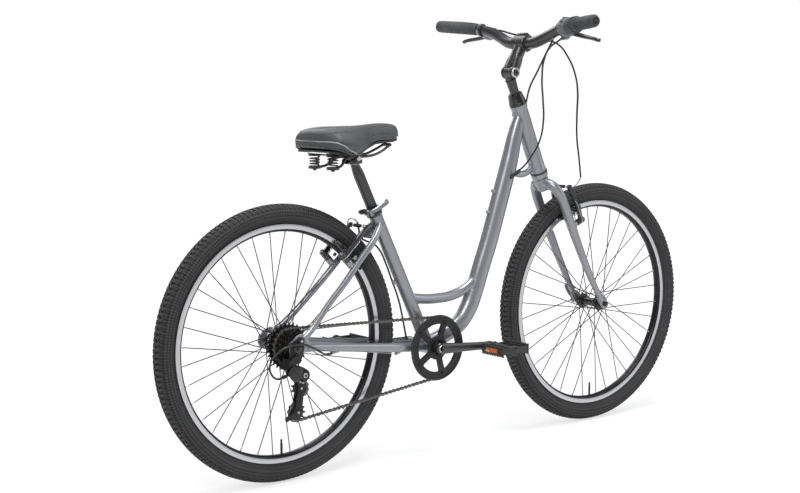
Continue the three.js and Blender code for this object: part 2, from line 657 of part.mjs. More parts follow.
function brakeArm(side, back) {
  const plane = back + BRAKE_STAND_OFF;
  const pivot = [plane, side * ARM.postY, BRAKE_POST];
  const at = (x, y, z) => [plane + x, side * y, BRAKE_POST + z];
  const boss = rod(add(pivot, [-17, 0, 0]), add(pivot, [9, 0, 0]), 9, 6);
  const bar = sweep([at(0, 42, 0), at(1, 45, 40), at(0, 40, 80), at(0, 33, ARM.length)],
    6, 4, t => [blend(7, 4, t), blend(8, 5.5, t)], new THREE.Vector3(1, 0, 0));
  const padHeight = Math.sqrt(PAD_RADIUS ** 2 - plane ** 2);
  const padBolt = crossBar([plane, 0, padHeight], side * 21, side * 46, 4, 5);
  const padAngle = Math.atan2(padHeight, plane);
  const band = [];
  for (const [radius, turns] of [[PAD_RADIUS - 5, [-1, 0, 1]], [PAD_RADIUS + 5, [1, 0, -1]]]) {
    for (const turn of turns) band.push(polar(radius, padAngle + turn * radians(6.3)));
  }
  const [y0, y1] = [RIM.half + 2.2, RIM.half + 10].map(y => side * y).sort((a, b) => a - b);
  const bore = rod(add(pivot, [-40, 0, 0]), add(pivot, [40, 0, 0]), 4.6, 6);
  const tip = side > 0 ? rod(at(0, 33, ARM.length - 2), at(0, 41, ARM.length - 2), 5, 6) :
    rod(at(0, 30, ARM.length - 2), at(0, 41, ARM.length - 2), 7, 6);
  const wire = crossBar([plane, 0, BRAKE_POST + ARM.length - 2], -60, 60, side > 0 ? 1.8 : 4.2, 6);
  return cut(join(boss, bar, padBolt, tip, plate(band, y0, y1)), bore, wire);
}

// Chain line: circles of the chain's pitch, each with the way round that the chain takes

const pitchRadius = teeth => CHAIN.pitch / (2 * Math.sin(Math.PI / teeth));
const [RING_R, COG_R, JOCKEY_R] = [RING_TEETH, COG_TEETH[DRIVEN_COG], JOCKEY_TEETH].map(pitchRadius);

// The straight run from one circle to the next, where 1 is clockwise and -1 the other way,
// seen from the right side.
function run(from, to) {
  const [dx, dz] = [to.at[0] - from.at[0], to.at[1] - from.at[1]];
  const heading = Math.atan2(dz, dx);
  const lean = Math.asin((from.way * from.radius - to.way * to.radius) / Math.hypot(dx, dz));
  const direction = heading - lean;
  const normal = direction + Math.PI / 2;
  const touch = ({ at, radius, way }) => {
    const [x, z] = polar(way * radius, normal);
    return [at[0] + x, at[1] + z];
  };
  return { start: touch(from), end: touch(to), direction };
}

function chainLoop(wheels) {
  const runs = wheels.map((from, i) => run(from, wheels[(i + 1) % wheels.length]));
  const pieces = [];
  wheels.forEach((circleHere, i) => {
    const before = runs[(i + wheels.length - 1) % wheels.length];
    const after = runs[i];
    const turnBy = circleHere.way * (before.direction - after.direction);
    const sweepAngle = ((turnBy % TURN) + TURN) % TURN;
    pieces.push({ wheel: circleHere, from: before.direction, length: sweepAngle * circleHere.radius });
    const next = wheels[(i + 1) % wheels.length];
    pieces.push({
      start: after.start, direction: after.direction, y0: circleHere.y, y1: next.y,
      length: Math.hypot(after.end[0] - after.start[0], after.end[1] - after.start[1]),
    });
  });
  return { pieces, length: pieces.reduce((sum, piece) => sum + piece.length, 0) };
}

// The place on the loop so far along it, and the direction of travel there.
function onLoop(loop, distance) {
  let rest = ((distance % loop.length) + loop.length) % loop.length;
  for (const piece of loop.pieces) {
    if (rest <= piece.length) {
      if (piece.wheel) {
        const { at, radius, way, y } = piece.wheel;
        const direction = piece.from - way * (rest / radius);
        const [x, z] = polar(way * radius, direction + Math.PI / 2);
        return { x: at[0] + x, z: at[1] + z, y, direction };
      }
      const [x, z] = polar(rest, piece.direction);
      const y = blend(piece.y0, piece.y1, rest / piece.length);
      return { x: piece.start[0] + x, z: piece.start[1] + z, y, direction: piece.direction };
    }
    rest -= piece.length;
  }
  return onLoop(loop, 0);
}

function turnedAbout([x, z], [cx, cz], angle) {
  const [c, s] = [Math.cos(angle), Math.sin(angle)];
  return [cx + (x - cx) * c - (z - cz) * s, cz + (x - cx) * s + (z - cz) * c];
}

// The sprung cage swings until the chain has an even number of links.
function drive() {
  const side = ([x, , z]) => [x, z];
  const wheelsAt = angle => {
    const pivot = side(CAGE_PIVOT);
    const jockey = place => turnedAbout(side(place), pivot, angle);
    return [
      { at: side(REAR_AXLE), radius: COG_R, way: 1, y: COG_LINE },
      { at: side(BOTTOM_BRACKET), radius: RING_R, way: 1, y: RING_LINE },
      { at: jockey(LOWER_JOCKEY), radius: JOCKEY_R, way: 1, y: COG_LINE },
      { at: jockey(UPPER_JOCKEY), radius: JOCKEY_R, way: -1, y: COG_LINE },
    ];
  };
  const lengthAt = angle => chainLoop(wheelsAt(angle)).length;
  const links = 2 * Math.round(lengthAt(0) / (2 * CHAIN.pitch));
  let [low, high] = [-0.6, 0.6];
  for (let i = 0; i < 50; i += 1) {
    const middle = (low + high) / 2;
    if ((lengthAt(middle) - links * CHAIN.pitch) * (lengthAt(low) - links * CHAIN.pitch) > 0) low = middle;
    else high = middle;
  }
  const wheels = wheelsAt(low);
  return { wheels, loop: chainLoop(wheels), links, angle: low };
}

const DRIVE = drive();
console.log(`chain: ${DRIVE.links} links, loop ${DRIVE.loop.length.toFixed(2)} mm`);

const rollers = Array.from({ length: DRIVE.links }, (_, k) => onLoop(DRIVE.loop, k * CHAIN.pitch));

// Two side plates, thicker at the middle of their height, with a bar across at each roller.
function chain() {
  const { outer, inner, half, roller, pitch } = CHAIN;
  const corners = [[-outer, 1], [-inner, 0], [-outer, -1], [outer, -1], [inner, 0], [outer, 1]];
  const positions = [];
  for (let k = 0; k < DRIVE.links; k += 1) {
    for (const offset of [-roller, roller]) {
      const { x, y, z, direction } = onLoop(DRIVE.loop, k * pitch + offset);
      const [nx, nz] = polar(half, direction + Math.PI / 2);
      for (const [across, up] of corners) positions.push(x + up * nx, y + across, z + up * nz);
    }
  }
  const barWalls = [[2, 0], [0, 5], [5, 3], [3, 2]];
  const plateWalls = [[2, 0], [0, 1], [1, 2], [3, 4], [4, 5], [5, 3]];
  const barEnd = [[0, 1, 4], [0, 4, 5], [1, 2, 3], [1, 3, 4]];
  const index = [];
  const rows = 2 * DRIVE.links;
  for (let row = 0; row < rows; row += 1) {
    const [here, next] = [6 * row, 6 * ((row + 1) % rows)];
    const isBar = row % 2 === 0;
    for (const [from, to] of isBar ? barWalls : plateWalls) {
      index.push(here + to, here + from, next + from, here + to, next + from, next + to);
    }
    if (isBar) {
      for (const [a, b, c] of barEnd) index.push(here + a, here + c, here + b, next + a, next + b, next + c);
    }
  }
  const geometry = new THREE.BufferGeometry();
  geometry.setAttribute('position', new THREE.Float32BufferAttribute(positions, 3));
  geometry.setIndex(index);
  return geometry;
}

// Teeth sit midway between the rollers that they carry.
function toothPhase(wheelIndex, teeth) {
  const { at } = DRIVE.wheels[wheelIndex];
  const piece = DRIVE.loop.pieces[2 * wheelIndex];
  const before = DRIVE.loop.pieces.slice(0, 2 * wheelIndex).reduce((sum, p) => sum + p.length, 0);
  const middle = Math.round((before + piece.length / 2) / CHAIN.pitch);
  const { x, z } = onLoop(DRIVE.loop, middle * CHAIN.pitch);
  return Math.atan2(z - at[1], x - at[0]) + Math.PI / teeth;
}

const TOOTH = { root: 4.4, tip: 2.4, half: 2.7 };

function toothed(centre, teeth, phase, pointed) {
  const radius = pitchRadius(teeth);
  const [root, tip] = [radius - TOOTH.root, radius + TOOTH.tip];
  const half = teeth === JOCKEY_TEETH ? 2 : TOOTH.half;
  const points = [];
  for (let i = 0; i < teeth; i += 1) {
    const angle = phase + (i / teeth) * TURN;
    const foot = pointed ? Math.PI / teeth : half / root;
    points.push(polar(root, angle - foot), polar(tip, angle));
    if (!pointed) points.push(polar(root, angle + foot));
  }
  return points.map(([x, z]) => [centre[0] + x, centre[1] + z]);
}

function freewheelCogs() {
  const [ax, , az] = REAR_AXLE;
  const cogs = COG_TEETH.map((teeth, i) => {
    const y = COG_LINE - (i - DRIVEN_COG) * COG_SPACING;
    const driven = i === DRIVEN_COG;
    const phase = driven ? toothPhase(0, teeth) : 0;
    return plate(toothed([ax, az], teeth, phase, !driven), y - 0.9, y + 0.9);
  });
  const body = crossBar(REAR_AXLE, -64.6, -29, 20, 6);
  const bore = crossBar(REAR_AXLE, -80, 0, 10.5, 6);
  return cut(join(body, ...cogs), bore);
}

const BB = [BOTTOM_BRACKET[0], BOTTOM_BRACKET[2]];
const SPIDER_ARMS = 5;
const RIVET_CIRCLE = 71;
const SPINDLE = 8.4;

// The five windows between the arms of a ring.
function spiderWindows(inner, outer, armHalf) {
  return Array.from({ length: SPIDER_ARMS }, (_, i) => {
    const start = CRANK.droop + (i / SPIDER_ARMS) * TURN;
    const end = start + TURN / SPIDER_ARMS;
    const along = (radius, t) => polar(radius, blend(start + armHalf / radius, end - armHalf / radius, t));
    return [along(outer, 0), along(outer, 0.5), along(outer, 1), along(inner, 1), along(inner, 0)]
      .map(([x, z]) => [BB[0] + x, BB[1] + z]);
  });
}

// The toothed ring and the guard ring outside it are riveted to each other.
function chainring() {
  const outline = toothed(BB, RING_TEETH, toothPhase(1, RING_TEETH), false);
  const ring = plate(outline, RING_LINE - 1, RING_LINE + 1, [...spiderWindows(26, 66, 7), circle(BB, 16.2, 12)]);
  const guard = plate(circle(BB, GUARD.radius, 25), GUARD.line - GUARD.half, GUARD.line + GUARD.half,
    [...spiderWindows(32, 66, 7), circle(BB, 17.5, 8)]);
  const rivets = Array.from({ length: SPIDER_ARMS }, (_, i) => {
    const [x, z] = polar(RIVET_CIRCLE, CRANK.droop + (i / SPIDER_ARMS) * TURN);
    return crossBar([BB[0] + x, 0, BB[1] + z], GUARD.line, RING_LINE, 5, 5);
  });
  return join(ring, guard, ...rivets);
}

const pedalAt = side => {
  const [x, z] = polar(CRANK.length * (side < 0 ? 1 : -1), CRANK.droop);
  return [BB[0] + x, side * 130, BB[1] + z];
};

function crank(side) {
  const pedal = pedalAt(side);
  const [y0, y1] = [CRANK.line + 5, CRANK.line - 8].map(y => -side * y).sort((a, b) => a - b);
  const arm = plate(strap(BB, 16, [pedal[0], pedal[2]], 11, 4), y0, y1);
  const inner = side < 0 ? -37 : 37;
  const boss = crossBar(BOTTOM_BRACKET, side * 40, side * 70, 15.2, 12);
  const pin = crossBar([pedal[0], 0, pedal[2]], side * 66, side * 172, 6, 6);
  const collar = crossBar([pedal[0], 0, pedal[2]], side * 66, side * 80, 8.5, 8);
  const spindle = side < 0 ? crossBar(BOTTOM_BRACKET, -60, 62, SPINDLE, 8) : null;
  const whole = join(...[arm, boss, pin, collar, spindle].filter(Boolean));
  return side < 0 ? whole : cut(whole, crossBar(BOTTOM_BRACKET, inner, 62 + GAP, SPINDLE + GAP, 8));
}

const bottomBracketCartridge = () => turned([
  [SPINDLE + 1, -SHELL.half + 1], [SHELL.bore - GAP, -SHELL.half + 1], [SHELL.bore - GAP, SHELL.half - 1],
  [SPINDLE + 1, SHELL.half - 1],
], BOTTOM_BRACKET, 14);

// A platform pedal: a barrel on the pin, two toothed cage plates and the ribs that carry them.
function pedal(side) {
  const [x, , z] = pedalAt(side);
  const [y0, y1] = side > 0 ? [83, 173] : [-173, -83];
  const edge = Array.from({ length: 7 }, (_, i) => [blend(y0, y1, i / 6), i % 2 === 0 ? 11 : 14.5]);
  const outline = [...edge, ...edge.slice().reverse().map(([y, h]) => [y, -h])];
  const shape = new THREE.Shape(outline.map(([y, h]) => new THREE.Vector2(y, h)));
  const cages = [-1, 1].map(end => {
    const sheet = new THREE.ExtrudeGeometry(shape, { depth: 6, bevelEnabled: false });
    const across = new THREE.Matrix4().set(0, 0, 1, x + end * 44 - 3, 1, 0, 0, 0, 0, 1, 0, z, 0, 0, 0, 1);
    return sheet.applyMatrix4(across);
  });
  const barrel = crossBar([x, 0, z], y0, y1, 10.5, 6);
  const ribs = [y0 + 4, y1 - 4].map(y => box([88, 7, 17], [x, y, z]));
  return cut(join(barrel, ...cages, ...ribs), crossBar([x, 0, z], side * 60, side * 172.4, 7, 6));
}

// Rear derailleur: two links between the fixed and the moving knuckle, and a sprung cage

const LINK = { from: [-569, -92, 306], reach: [36, 14, -19.5], apart: 15, half: 8.6, cheek: 11.2 };
const linkReach = vec(LINK.reach);
const LINK_PIN = new THREE.Vector3(-LINK.reach[2], 0, LINK.reach[0]).normalize();
const LINK_SIDE = LINK_PIN.clone().cross(linkReach).normalize();
const linkPoint = (along, across, up) => vec(LINK.from)
  .addScaledVector(linkReach, along).addScaledVector(LINK_SIDE, across).addScaledVector(LINK_PIN, up).toArray();

const linkPinBar = (along, across, half, radius, sides = 6) =>
  rod(linkPoint(along, across, -half), linkPoint(along, across, half), radius, sides);

function link(across) {
  const bar = sweep([linkPoint(0, across, 0), linkPoint(1, across, 0)], 4, 1, () => [3.6, LINK.half - 1.6], LINK_PIN);
  const eyes = [0, 1].map(end => linkPinBar(end, across, LINK.half, 5.4));
  return cut(join(bar, ...eyes), ...[0, 1].map(end => linkPinBar(end, across, 30, 2.7)));
}

// The two pins at one end of the links, with the cheeks above and below them.
function linkYoke(end, from, to) {
  const middle = LINK.apart / 2;
  const cheeks = [-LINK.cheek, LINK.cheek].map(up =>
    sweep([linkPoint(from, middle, up), linkPoint(to, middle, up)], 4, 1, () => [12.5, 2], LINK_PIN));
  return [...cheeks, ...[0, LINK.apart].map(across => linkPinBar(end, across, LINK.cheek, 2))];
}

// The fixed knuckle hangs on its bolt and has a wall behind the links and a cable adjuster.
function derailleurKnuckle() {
  const middle = LINK.apart / 2;
  const [start, stop] = [-0.36, 0.14];
  const bolt = crossBar(HANGER_BOLT, -88, -73.8, 10, 8);
  const neck = sweep([add(HANGER_BOLT, [-2, -8, 2]), linkPoint(-0.12, middle, 16)], 4, 1, () => [6, 5], LINK_PIN);
  const wall = sweep([linkPoint(start, middle, 0), linkPoint(start + 0.12, middle, 0)], 4, 1,
    () => [12.5, LINK.cheek + 2], LINK_PIN);
  const adjuster = rod([-589.5, -86, 282.2], [-573, -85.4, 286], 3.4, 6);
  const web = rod([-577, -85.5, 284.5], linkPoint(0, middle, -LINK.cheek), 3.2, 6);
  return join(bolt, neck, wall, adjuster, web, ...linkYoke(0, start, stop));
}

function movingKnuckle() {
  const [x, , z] = CAGE_PIVOT;
  const barrel = crossBar([x, 0, z], -72, -51.6, 11, 10);
  return cut(join(barrel, ...linkYoke(1, 0.86, 1.45)), crossBar([x, 0, z], -66, -40, 4.7, 8));
}

const jockeyAt = index => DRIVE.wheels[index].at;

function derailleurCage() {
  const pivot = [CAGE_PIVOT[0], CAGE_PIVOT[2]];
  const [upper, lower] = [jockeyAt(3), jockeyAt(2)];
  const tail = [lower[0] - 34, lower[1] - 14];
  const outer = [
    plate(strap(pivot, 12, upper, 9, 3), -51, -49.2), plate(strap(upper, 9, lower, 11, 3), -51, -49.2),
    plate(strap(lower, 11, tail, 5, 3), -51, -49.2),
  ];
  const inner = plate(strap(upper, 9, lower, 11, 3), -37, -35.4);
  const bolts = [upper, lower].map(([x, z]) => crossBar([x, 0, z], -53, -35.6, 3, 6));
  const pin = crossBar([pivot[0], 0, pivot[1]], -64, -49.4, 4, 8);
  return join(...outer, inner, ...bolts, pin);
}

function jockey(wheelIndex) {
  const [x, z] = jockeyAt(wheelIndex);
  const phase = toothPhase(wheelIndex, JOCKEY_TEETH);
  const disc = plate(toothed([x, z], JOCKEY_TEETH, phase, false), COG_LINE - 1, COG_LINE + 1);
  const hub = crossBar([x, 0, z], COG_LINE - 5, COG_LINE + 5, 7, 8);
  return cut(join(disc, hub), crossBar([x, 0, z], -60, -30, 3.7, 6));
}

// Seatpost, collar and saddle

const POST_TOP = upSeatTube(SEAT_TUBE.length + POST.above);

function seatpost() {
  const length = POST.below + POST.above;
  const shaft = turnedRod(upSeatTube(SEAT_TUBE.length - POST.below), POST_TOP,
    [[0, POST.radius], [length - 44, POST.radius], [length - 4, 10]], 12);
  const barrel = crossBar(POST_TOP, -12, 12, 11.5, 10);
  return cut(join(shaft, barrel), crossBar(POST_TOP, -20, 20, 4.6, 6));
}

const COLLAR_BOLT = add(upSeatTube(SEAT_TUBE.length - 7), [-27, 0, -1]);
const COLLAR_BOLT_END = -15;

function seatCollar() {
  const foot = upSeatTube(SEAT_TUBE.length - 16);
  const top = upSeatTube(SEAT_TUBE.length + 2);
  const ring = rod(foot, top, 21.5, 10);
  const ears = box([15, 16, 13], add(COLLAR_BOLT, [3, 0, 0]), radians(26));
  const bolt = crossBar(COLLAR_BOLT, COLLAR_BOLT_END, 13, 3, 6);
  const barrelNut = crossBar(COLLAR_BOLT, 12, 21, 7, 6);
  const below = upSeatTube(SEAT_TUBE.length - 60);
  const bore = rod(below, upSeatTube(SEAT_TUBE.length + 0.2), SEAT_TUBE.radius + GAP, 12);
  const postHole = rod(below, upSeatTube(SEAT_TUBE.length + 30), SEAT_TUBE.bore, 12);
  const slit = box([40, 2, 40], add(COLLAR_BOLT, [-6, 0, 6]), radians(26));
  return join(cut(join(ring, ears), bore, postHole, slit), bolt, barrelNut);
}

// The cushion narrows from the seat to the nose. Each row across it holds a crowned top,
// a seam drawn in below the top panel, and a flat underside.
const SADDLE_LENGTH = SADDLE.nose - SADDLE.rear;
const smooth = THREE.MathUtils.smoothstep;
const saddleHalf = t => {
  const seat = SADDLE.half * Math.sqrt(Math.max(0, 1 - ((t - 0.2) / 0.205) ** 4) * 0.999 + 0.001);
  const waist = blend(SADDLE.half, 23, smooth(t, 0.16, 0.72));
  const nose = waist * Math.sqrt(Math.max(0.02, 1 - smooth(t, 0.86, 1.0) ** 2));
  return t < 0.2 ? Math.max(seat * 0.96, 30) : nose;
};
const saddleTop = t => SADDLE.top - 5 * (1 - smooth(t, 0, 0.22)) + 5 * smooth(t, 0.5, 0.82)
  - 9 * smooth(t, 0.88, 1) ** 1.5;
// The skirt hangs lowest at the wings and rises to the rear and to the nose.
const saddleThick = t => blend(58, 40, smooth(t, 0.3, 0.75)) * blend(0.84, 1, smooth(t, 0, 0.2))
  - 12 * smooth(t, 0.86, 1);
const SADDLE_ROW = [
  [0, 0], [0.34, -0.02], [0.64, -0.09], [0.88, -0.27], [0.99, -0.55],
  [0.965, -0.66], [1, -0.74], [0.95, -1], [0.4, -1],
];

function saddlePad() {
  const rows = 18;
  const half = SADDLE_ROW.slice(1);
  const outline = [SADDLE_ROW[0], ...half, ...half.map(([u, v]) => [-u, v]).reverse()];
  const shape = new THREE.Shape(outline.map(([u, v]) => new THREE.Vector2(u, v)));
  const geometry = new THREE.ExtrudeGeometry(shape, { depth: 1, steps: rows, bevelEnabled: false });
  const corners = geometry.attributes.position;
  for (let i = 0; i < corners.count; i += 1) {
    const row = Math.round(corners.getZ(i) * rows) / rows;
    const t = (1 - Math.cos(row * Math.PI)) / 2;
    const [u, v] = [corners.getX(i), corners.getY(i)];
    const channel = 5 * Math.exp(-((u / 0.16) ** 2)) * smooth(t, 0.02, 0.16) * (1 - smooth(t, 0.45, 0.7));
    const z = saddleTop(t) + v * saddleThick(t) - (v > -0.2 ? channel : 0);
    corners.setXYZ(i, SADDLE.rear + t * SADDLE_LENGTH, u * saddleHalf(t), z);
  }
  return geometry;
}

const saddleUnder = t => saddleTop(t) - saddleThick(t);

// The moulded base follows the underside of the cushion, with a lip that turns down.
function saddleBase() {
  const rows = 10;
  const outline = [
    [0.9, -1], [0.92, -7], [0.84, -7], [0.8, -4], [-0.8, -4], [-0.84, -7], [-0.92, -7], [-0.9, -1],
  ];
  const shape = new THREE.Shape(outline.map(([u, v]) => new THREE.Vector2(u, v)));
  const geometry = new THREE.ExtrudeGeometry(shape, { depth: 1, steps: rows, bevelEnabled: false });
  const corners = geometry.attributes.position;
  for (let i = 0; i < corners.count; i += 1) {
    const row = blend(0.12, 0.94, Math.round(corners.getZ(i) * rows) / rows);
    const t = (1 - Math.cos(row * Math.PI)) / 2;
    const [u, v] = [corners.getX(i), corners.getY(i)];
    corners.setXYZ(i, SADDLE.rear + t * SADDLE_LENGTH, u * saddleHalf(t), saddleUnder(t) + v - 1);
  }
  return geometry;
}

const SPRING = { x: -402, y: 39, foot: 775, height: 27, radius: 12, wire: 1.9, curls: 3 };

// A compression spring: eight steps to a curl, five sides to the wire, its ends straight up
// for one wire thickness into the plates above and below.
function spring(side) {
  const { x, y, foot, height, radius, wire, curls } = SPRING;
  const lead = 2 * wire;
  const points = [];
  for (let i = 0; i <= curls * 8; i += 1) {
    const [dx, dy] = polar(radius, (i / 8) * TURN);
    points.push([x + dx, side * (y + dy), foot + lead + (i / (curls * 8)) * (height - 2 * lead)]);
  }
  const first = points[0];
  const last = points[points.length - 1];
  const route = [[first[0], first[1], foot], ...points, [last[0], last[1], foot + height]];
  const rings = route.map((point, i) => {
    const before = vec(route[Math.max(0, i - 1)]);
    const after = vec(route[Math.min(route.length - 1, i + 1)]);
    const ahead = i === 0 || i === route.length - 1 ? Z_AXIS.clone() : after.sub(before).normalize();
    const out = new THREE.Vector3(point[0] - x, point[1] - side * y, 0).normalize();
    const up = ahead.clone().cross(out).normalize();
    const outward = up.clone().cross(ahead);
    return Array.from({ length: 5 }, (_, k) => {
      const [a, b] = polar(wire, (k / 5) * TURN);
      return vec(point).addScaledVector(outward, a).addScaledVector(up, b);
    });
  });
  const positions = rings.flat().flatMap(corner => corner.toArray());
  const index = [];
  for (let i = 0; i + 1 < rings.length; i += 1) {
    for (let k = 0; k < 5; k += 1) {
      const [a, b] = [5 * i + k, 5 * i + ((k + 1) % 5)];
      index.push(a, b, b + 5, a, b + 5, a + 5);
    }
  }
  const end = 5 * (rings.length - 1);
  for (let k = 1; k < 4; k += 1) {
    index.push(0, k + 1, k);
    index.push(end, end + k, end + k + 1);
  }
  const geometry = new THREE.BufferGeometry();
  geometry.setAttribute('position', new THREE.Float32BufferAttribute(positions, 3));
  geometry.setIndex(index);
  return geometry;
}

const springPitch = (SPRING.height - 4 * SPRING.wire) / SPRING.curls;
console.log(`saddle spring: gap between curls ${(springPitch - 2 * SPRING.wire).toFixed(2)} mm`);

const CLAMP_Y = [12.4, 24];
const NOSE_BAR = [-206, 0, 824];

function saddleRails() {
  const [px, , pz] = POST_TOP;
  const parts = [];
  for (const side of [1, -1]) {
    const route = [
      [NOSE_BAR[0], 14, NOSE_BAR[2]], [-232, 18, 811], [-262, 20, pz + 7], [px, 20, pz + 3], [px - 34, 22, pz],
      [-372, 31, 777], [SPRING.x, SPRING.y, SPRING.foot - 3],
    ];
    parts.push(sweep(route.map(([x, y, z]) => [x, side * y, z]), 5, 7, evenly(3.5), Y_AXIS));
    const [y0, y1] = CLAMP_Y.map(y => side * y).sort((a, b) => a - b);
    parts.push(box([30, y1 - y0, 26], [px, (y0 + y1) / 2, pz - 1]));
    const springEnd = z => [SPRING.x, side * SPRING.y, z];
    const crown = SPRING.foot + SPRING.height;
    parts.push(rod(springEnd(SPRING.foot - 6), springEnd(SPRING.foot + 1.5), 16, 6));
    parts.push(spring(side));
    parts.push(rod(springEnd(crown - 1.5), springEnd(crown + 2), 16, 6));
  }
  const nose = crossBar(NOSE_BAR, -16, 16, 4.5, 6);
  const bolt = crossBar([px, 0, pz], -30, 30, 4, 6);
  return join(...parts, nose, bolt);
}

// Cables and their housings, each a smooth route between its two holders

// The wire end of a rim brake: a bent guide pipe, a rubber boot and the bare wire.
function brakeCable(route, pipe) {
  const curve = new THREE.CatmullRomCurve3(route.map(vec), false, 'centripetal');
  const total = curve.getLength();
  const steps = Math.round(total / 28);
  const sizeAt = t => {
    const left = (1 - t) * total;
    if (left < 34) return [0.9, 0.9];
    if (left < 62) return [blend(2.2, 5, (left - 34) / 28), blend(2.2, 5, (left - 34) / 28)];
    if (left < pipe) return [2.1, 2.1];
    return [2.5, 2.5];
  };
  return sweep(route, 5, steps, sizeAt, new THREE.Vector3(0.3, 0.1, 0.95));
}

const FRONT_ARM_TIP = { x: RAKE + FRONT_LEG_BACK + BRAKE_STAND_OFF, z: FORK_END + BRAKE_POST + ARM.length - 2 };
const FRONT_CABLE_ROUTE = [
  [108.5, 133, 384.8], [112.5, 119, 386], [126, 80, 377], [140, 24, 352], [152, -30, 300], [158, -52, 236],
  [160, -62, 160], [160, -68, 70], [118, -68, -6], [88, -66, -44], [72, -58, -60],
  [FRONT_ARM_TIP.x, -48, FRONT_ARM_TIP.z], [FRONT_ARM_TIP.x, -36, FRONT_ARM_TIP.z],
  [FRONT_ARM_TIP.x, 0, FRONT_ARM_TIP.z], [FRONT_ARM_TIP.x, 46, FRONT_ARM_TIP.z],
];

const rearTip = y => outFromRearAxle(BRAKE_POST + ARM.length - 2, REAR_STAY_BACK + BRAKE_STAND_OFF, y);
const REAR_CABLE_ROUTE = [
  [-143, 2, 316], [-152, 3, 360], [-165, 6, 419], [-186.5, 7.4, 474], [-206.4, 5, 516.6], [-227, 4, 554],
  [-248, 6, 574], [-267, 10, 581], [-280, 14, 591], [-279, 24, 612], [-274, 36, 627], [-277, 50, 637],
  [-286, 58, 637], rearTip(50), rearTip(38), rearTip(0), rearTip(-46),
];

const SHIFT_ROUTE = [
  atHead(SPOUT_END[0] + 0.2, SPOUT_END[1] + 1.6, SPOUT_END[2] - 0.6),
  atHead(SPOUT_END[0] + 1, SPOUT_END[1] + 12, SPOUT_END[2] - 5),
  [255, -113, 1070], [246, -102, 1040], [250, -90, 985],
  [264, -80, 932], [276, -70, 878], [275, -58, 824], [259, -42, 780], [243, -25, 750], [234, -15, 740],
];
const BRAKE_ROUTE = [
  [282.4, -111.2, 1118], [282, -101, 1098], [269, -85, 1056], [263, -58, 1008], [265, -30, 972],
  [282, 2, 938], [298, 26, 905], [302, 38, 850], [290, 42, 800], [262, 34, 764], [240, 18, 744],
];
const LOOP_ROUTE = [
  [-432, -60, 317], [-450, -66, 319.5], [-468, -73, 327], [-490, -79, 339], [-520, -87, 353], [-566, -93, 358],
  [-606, -92, 344], [-628, -90, 318], [-622, -88, 292], [-604, -87, 280], [-590, -86, 282],
];

const HOUSING_UP = new THREE.Vector3(0.2, 0.1, 1);
const housing = (route, steps, radius = 2.5) => sweep(route, 5, steps, evenly(radius), HOUSING_UP);

// Axles

const CAM = { radius: 7.5, half: 8 };
const FRONT_SKEWER_END = 63;

function frontAxle() {
  const { shaft, nuts, outer } = axle(FRONT_LOCKNUT_HALF, FRONT_SKEWER_END, 8);
  return join(shaft, ...nuts, outer(-1), outer(1)).translate(...FRONT_AXLE);
}

// A quick-release lever turns about its cam, square to the skewer, and folds along the heading.
function camLever(skewerEnd, heading, side, stations) {
  const along = new THREE.Vector3(Math.cos(heading), 0, Math.sin(heading));
  const centre = vec(skewerEnd).addScaledVector(Y_AXIS, side * (CAM.radius + GAP));
  const pin = along.clone().cross(Y_AXIS);
  const at = ([ahead, out]) => centre.clone().addScaledVector(along, ahead).addScaledVector(Y_AXIS, side * out);
  const ends = [-CAM.half, CAM.half].map(half => centre.clone().addScaledVector(pin, half).toArray());
  const route = stations.map(station => at(station).toArray());
  const handle = sweep(route, 6, 4, t => [blend(5, 7.5, t), 3], Y_AXIS);
  return join(rod(ends[0], ends[1], CAM.radius, 8), handle);
}

const frontLever = () => camLever([FRONT_AXLE[0], FRONT_SKEWER_END, FRONT_AXLE[2]], radians(127), 1,
  [[0, 0], [20, 4], [40, 3], [60, -3]]);

const seatLever = () => camLever([COLLAR_BOLT[0], COLLAR_BOLT_END, COLLAR_BOLT[2]], radians(25.5), -1,
  [[0, 0], [20, 4], [42, 3], [63, -2]]);

function rearAxle() {
  const { shaft, nuts, outer } = axle(REAR_LOCKNUT_HALF, 80, 9.5);
  return join(shaft, ...nuts, outer(-1), outer(1)).translate(...REAR_AXLE);
}

// Assembly

const bicycle = new THREE.Group();

const frameParts = [
  named('head_tube', headTube(), silver),
  named('down_tube', downTube(), silver),
  named('brace_tube', braceTube(), silver),
  named('seat_tube', seatTube(), silver),
  named('bottom_bracket_shell', bottomBracketShell(), silver),
  named('bottom_bracket_cartridge', bottomBracketCartridge(), darkSteel),
  named('chainstays', chainstays(), silver),
  named('seatstays', seatstays(), silver),
  named('seat_collar', seatCollar(), blackPaint),
  named('seat_quick_release_lever', seatLever(), alloy),
  named('rear_axle', rearAxle(), steel),
  named('front_axle', frontAxle(), steel),
  named('front_quick_release_lever', frontLever(), alloy),
];
bicycle.add(...frameParts);

const driveParts = [
  named('chain', chain(), chainSteel),
  named('freewheel_cogs', freewheelCogs(), chainSteel),
  named('chainring', chainring(), darkSteel),
  named('right_crank', crank(-1), blackPaint),
  named('left_crank', crank(1), blackPaint),
  named('right_pedal', pedal(-1), blackPlastic),
  named('left_pedal', pedal(1), blackPlastic),
  named('derailleur_knuckle', derailleurKnuckle(), blackPlastic),
  named('derailleur_outer_link', link(0), blackPlastic),
  named('derailleur_inner_link', link(LINK.apart), blackPlastic),
  named('derailleur_moving_knuckle', movingKnuckle(), blackPlastic),
  named('derailleur_cage', derailleurCage(), darkSteel),
  named('upper_jockey_wheel', jockey(3), blackPlastic),
  named('lower_jockey_wheel', jockey(2), blackPlastic),
];
bicycle.add(...driveParts);

const seatParts = [
  named('seatpost', seatpost(), blackPaint),
  named('saddle_rails', saddleRails(), darkSteel),
  named('saddle_base', saddleBase(), blackPlastic),
  named('saddle_pad', saddlePad(), leatherette),
];
bicycle.add(...seatParts);

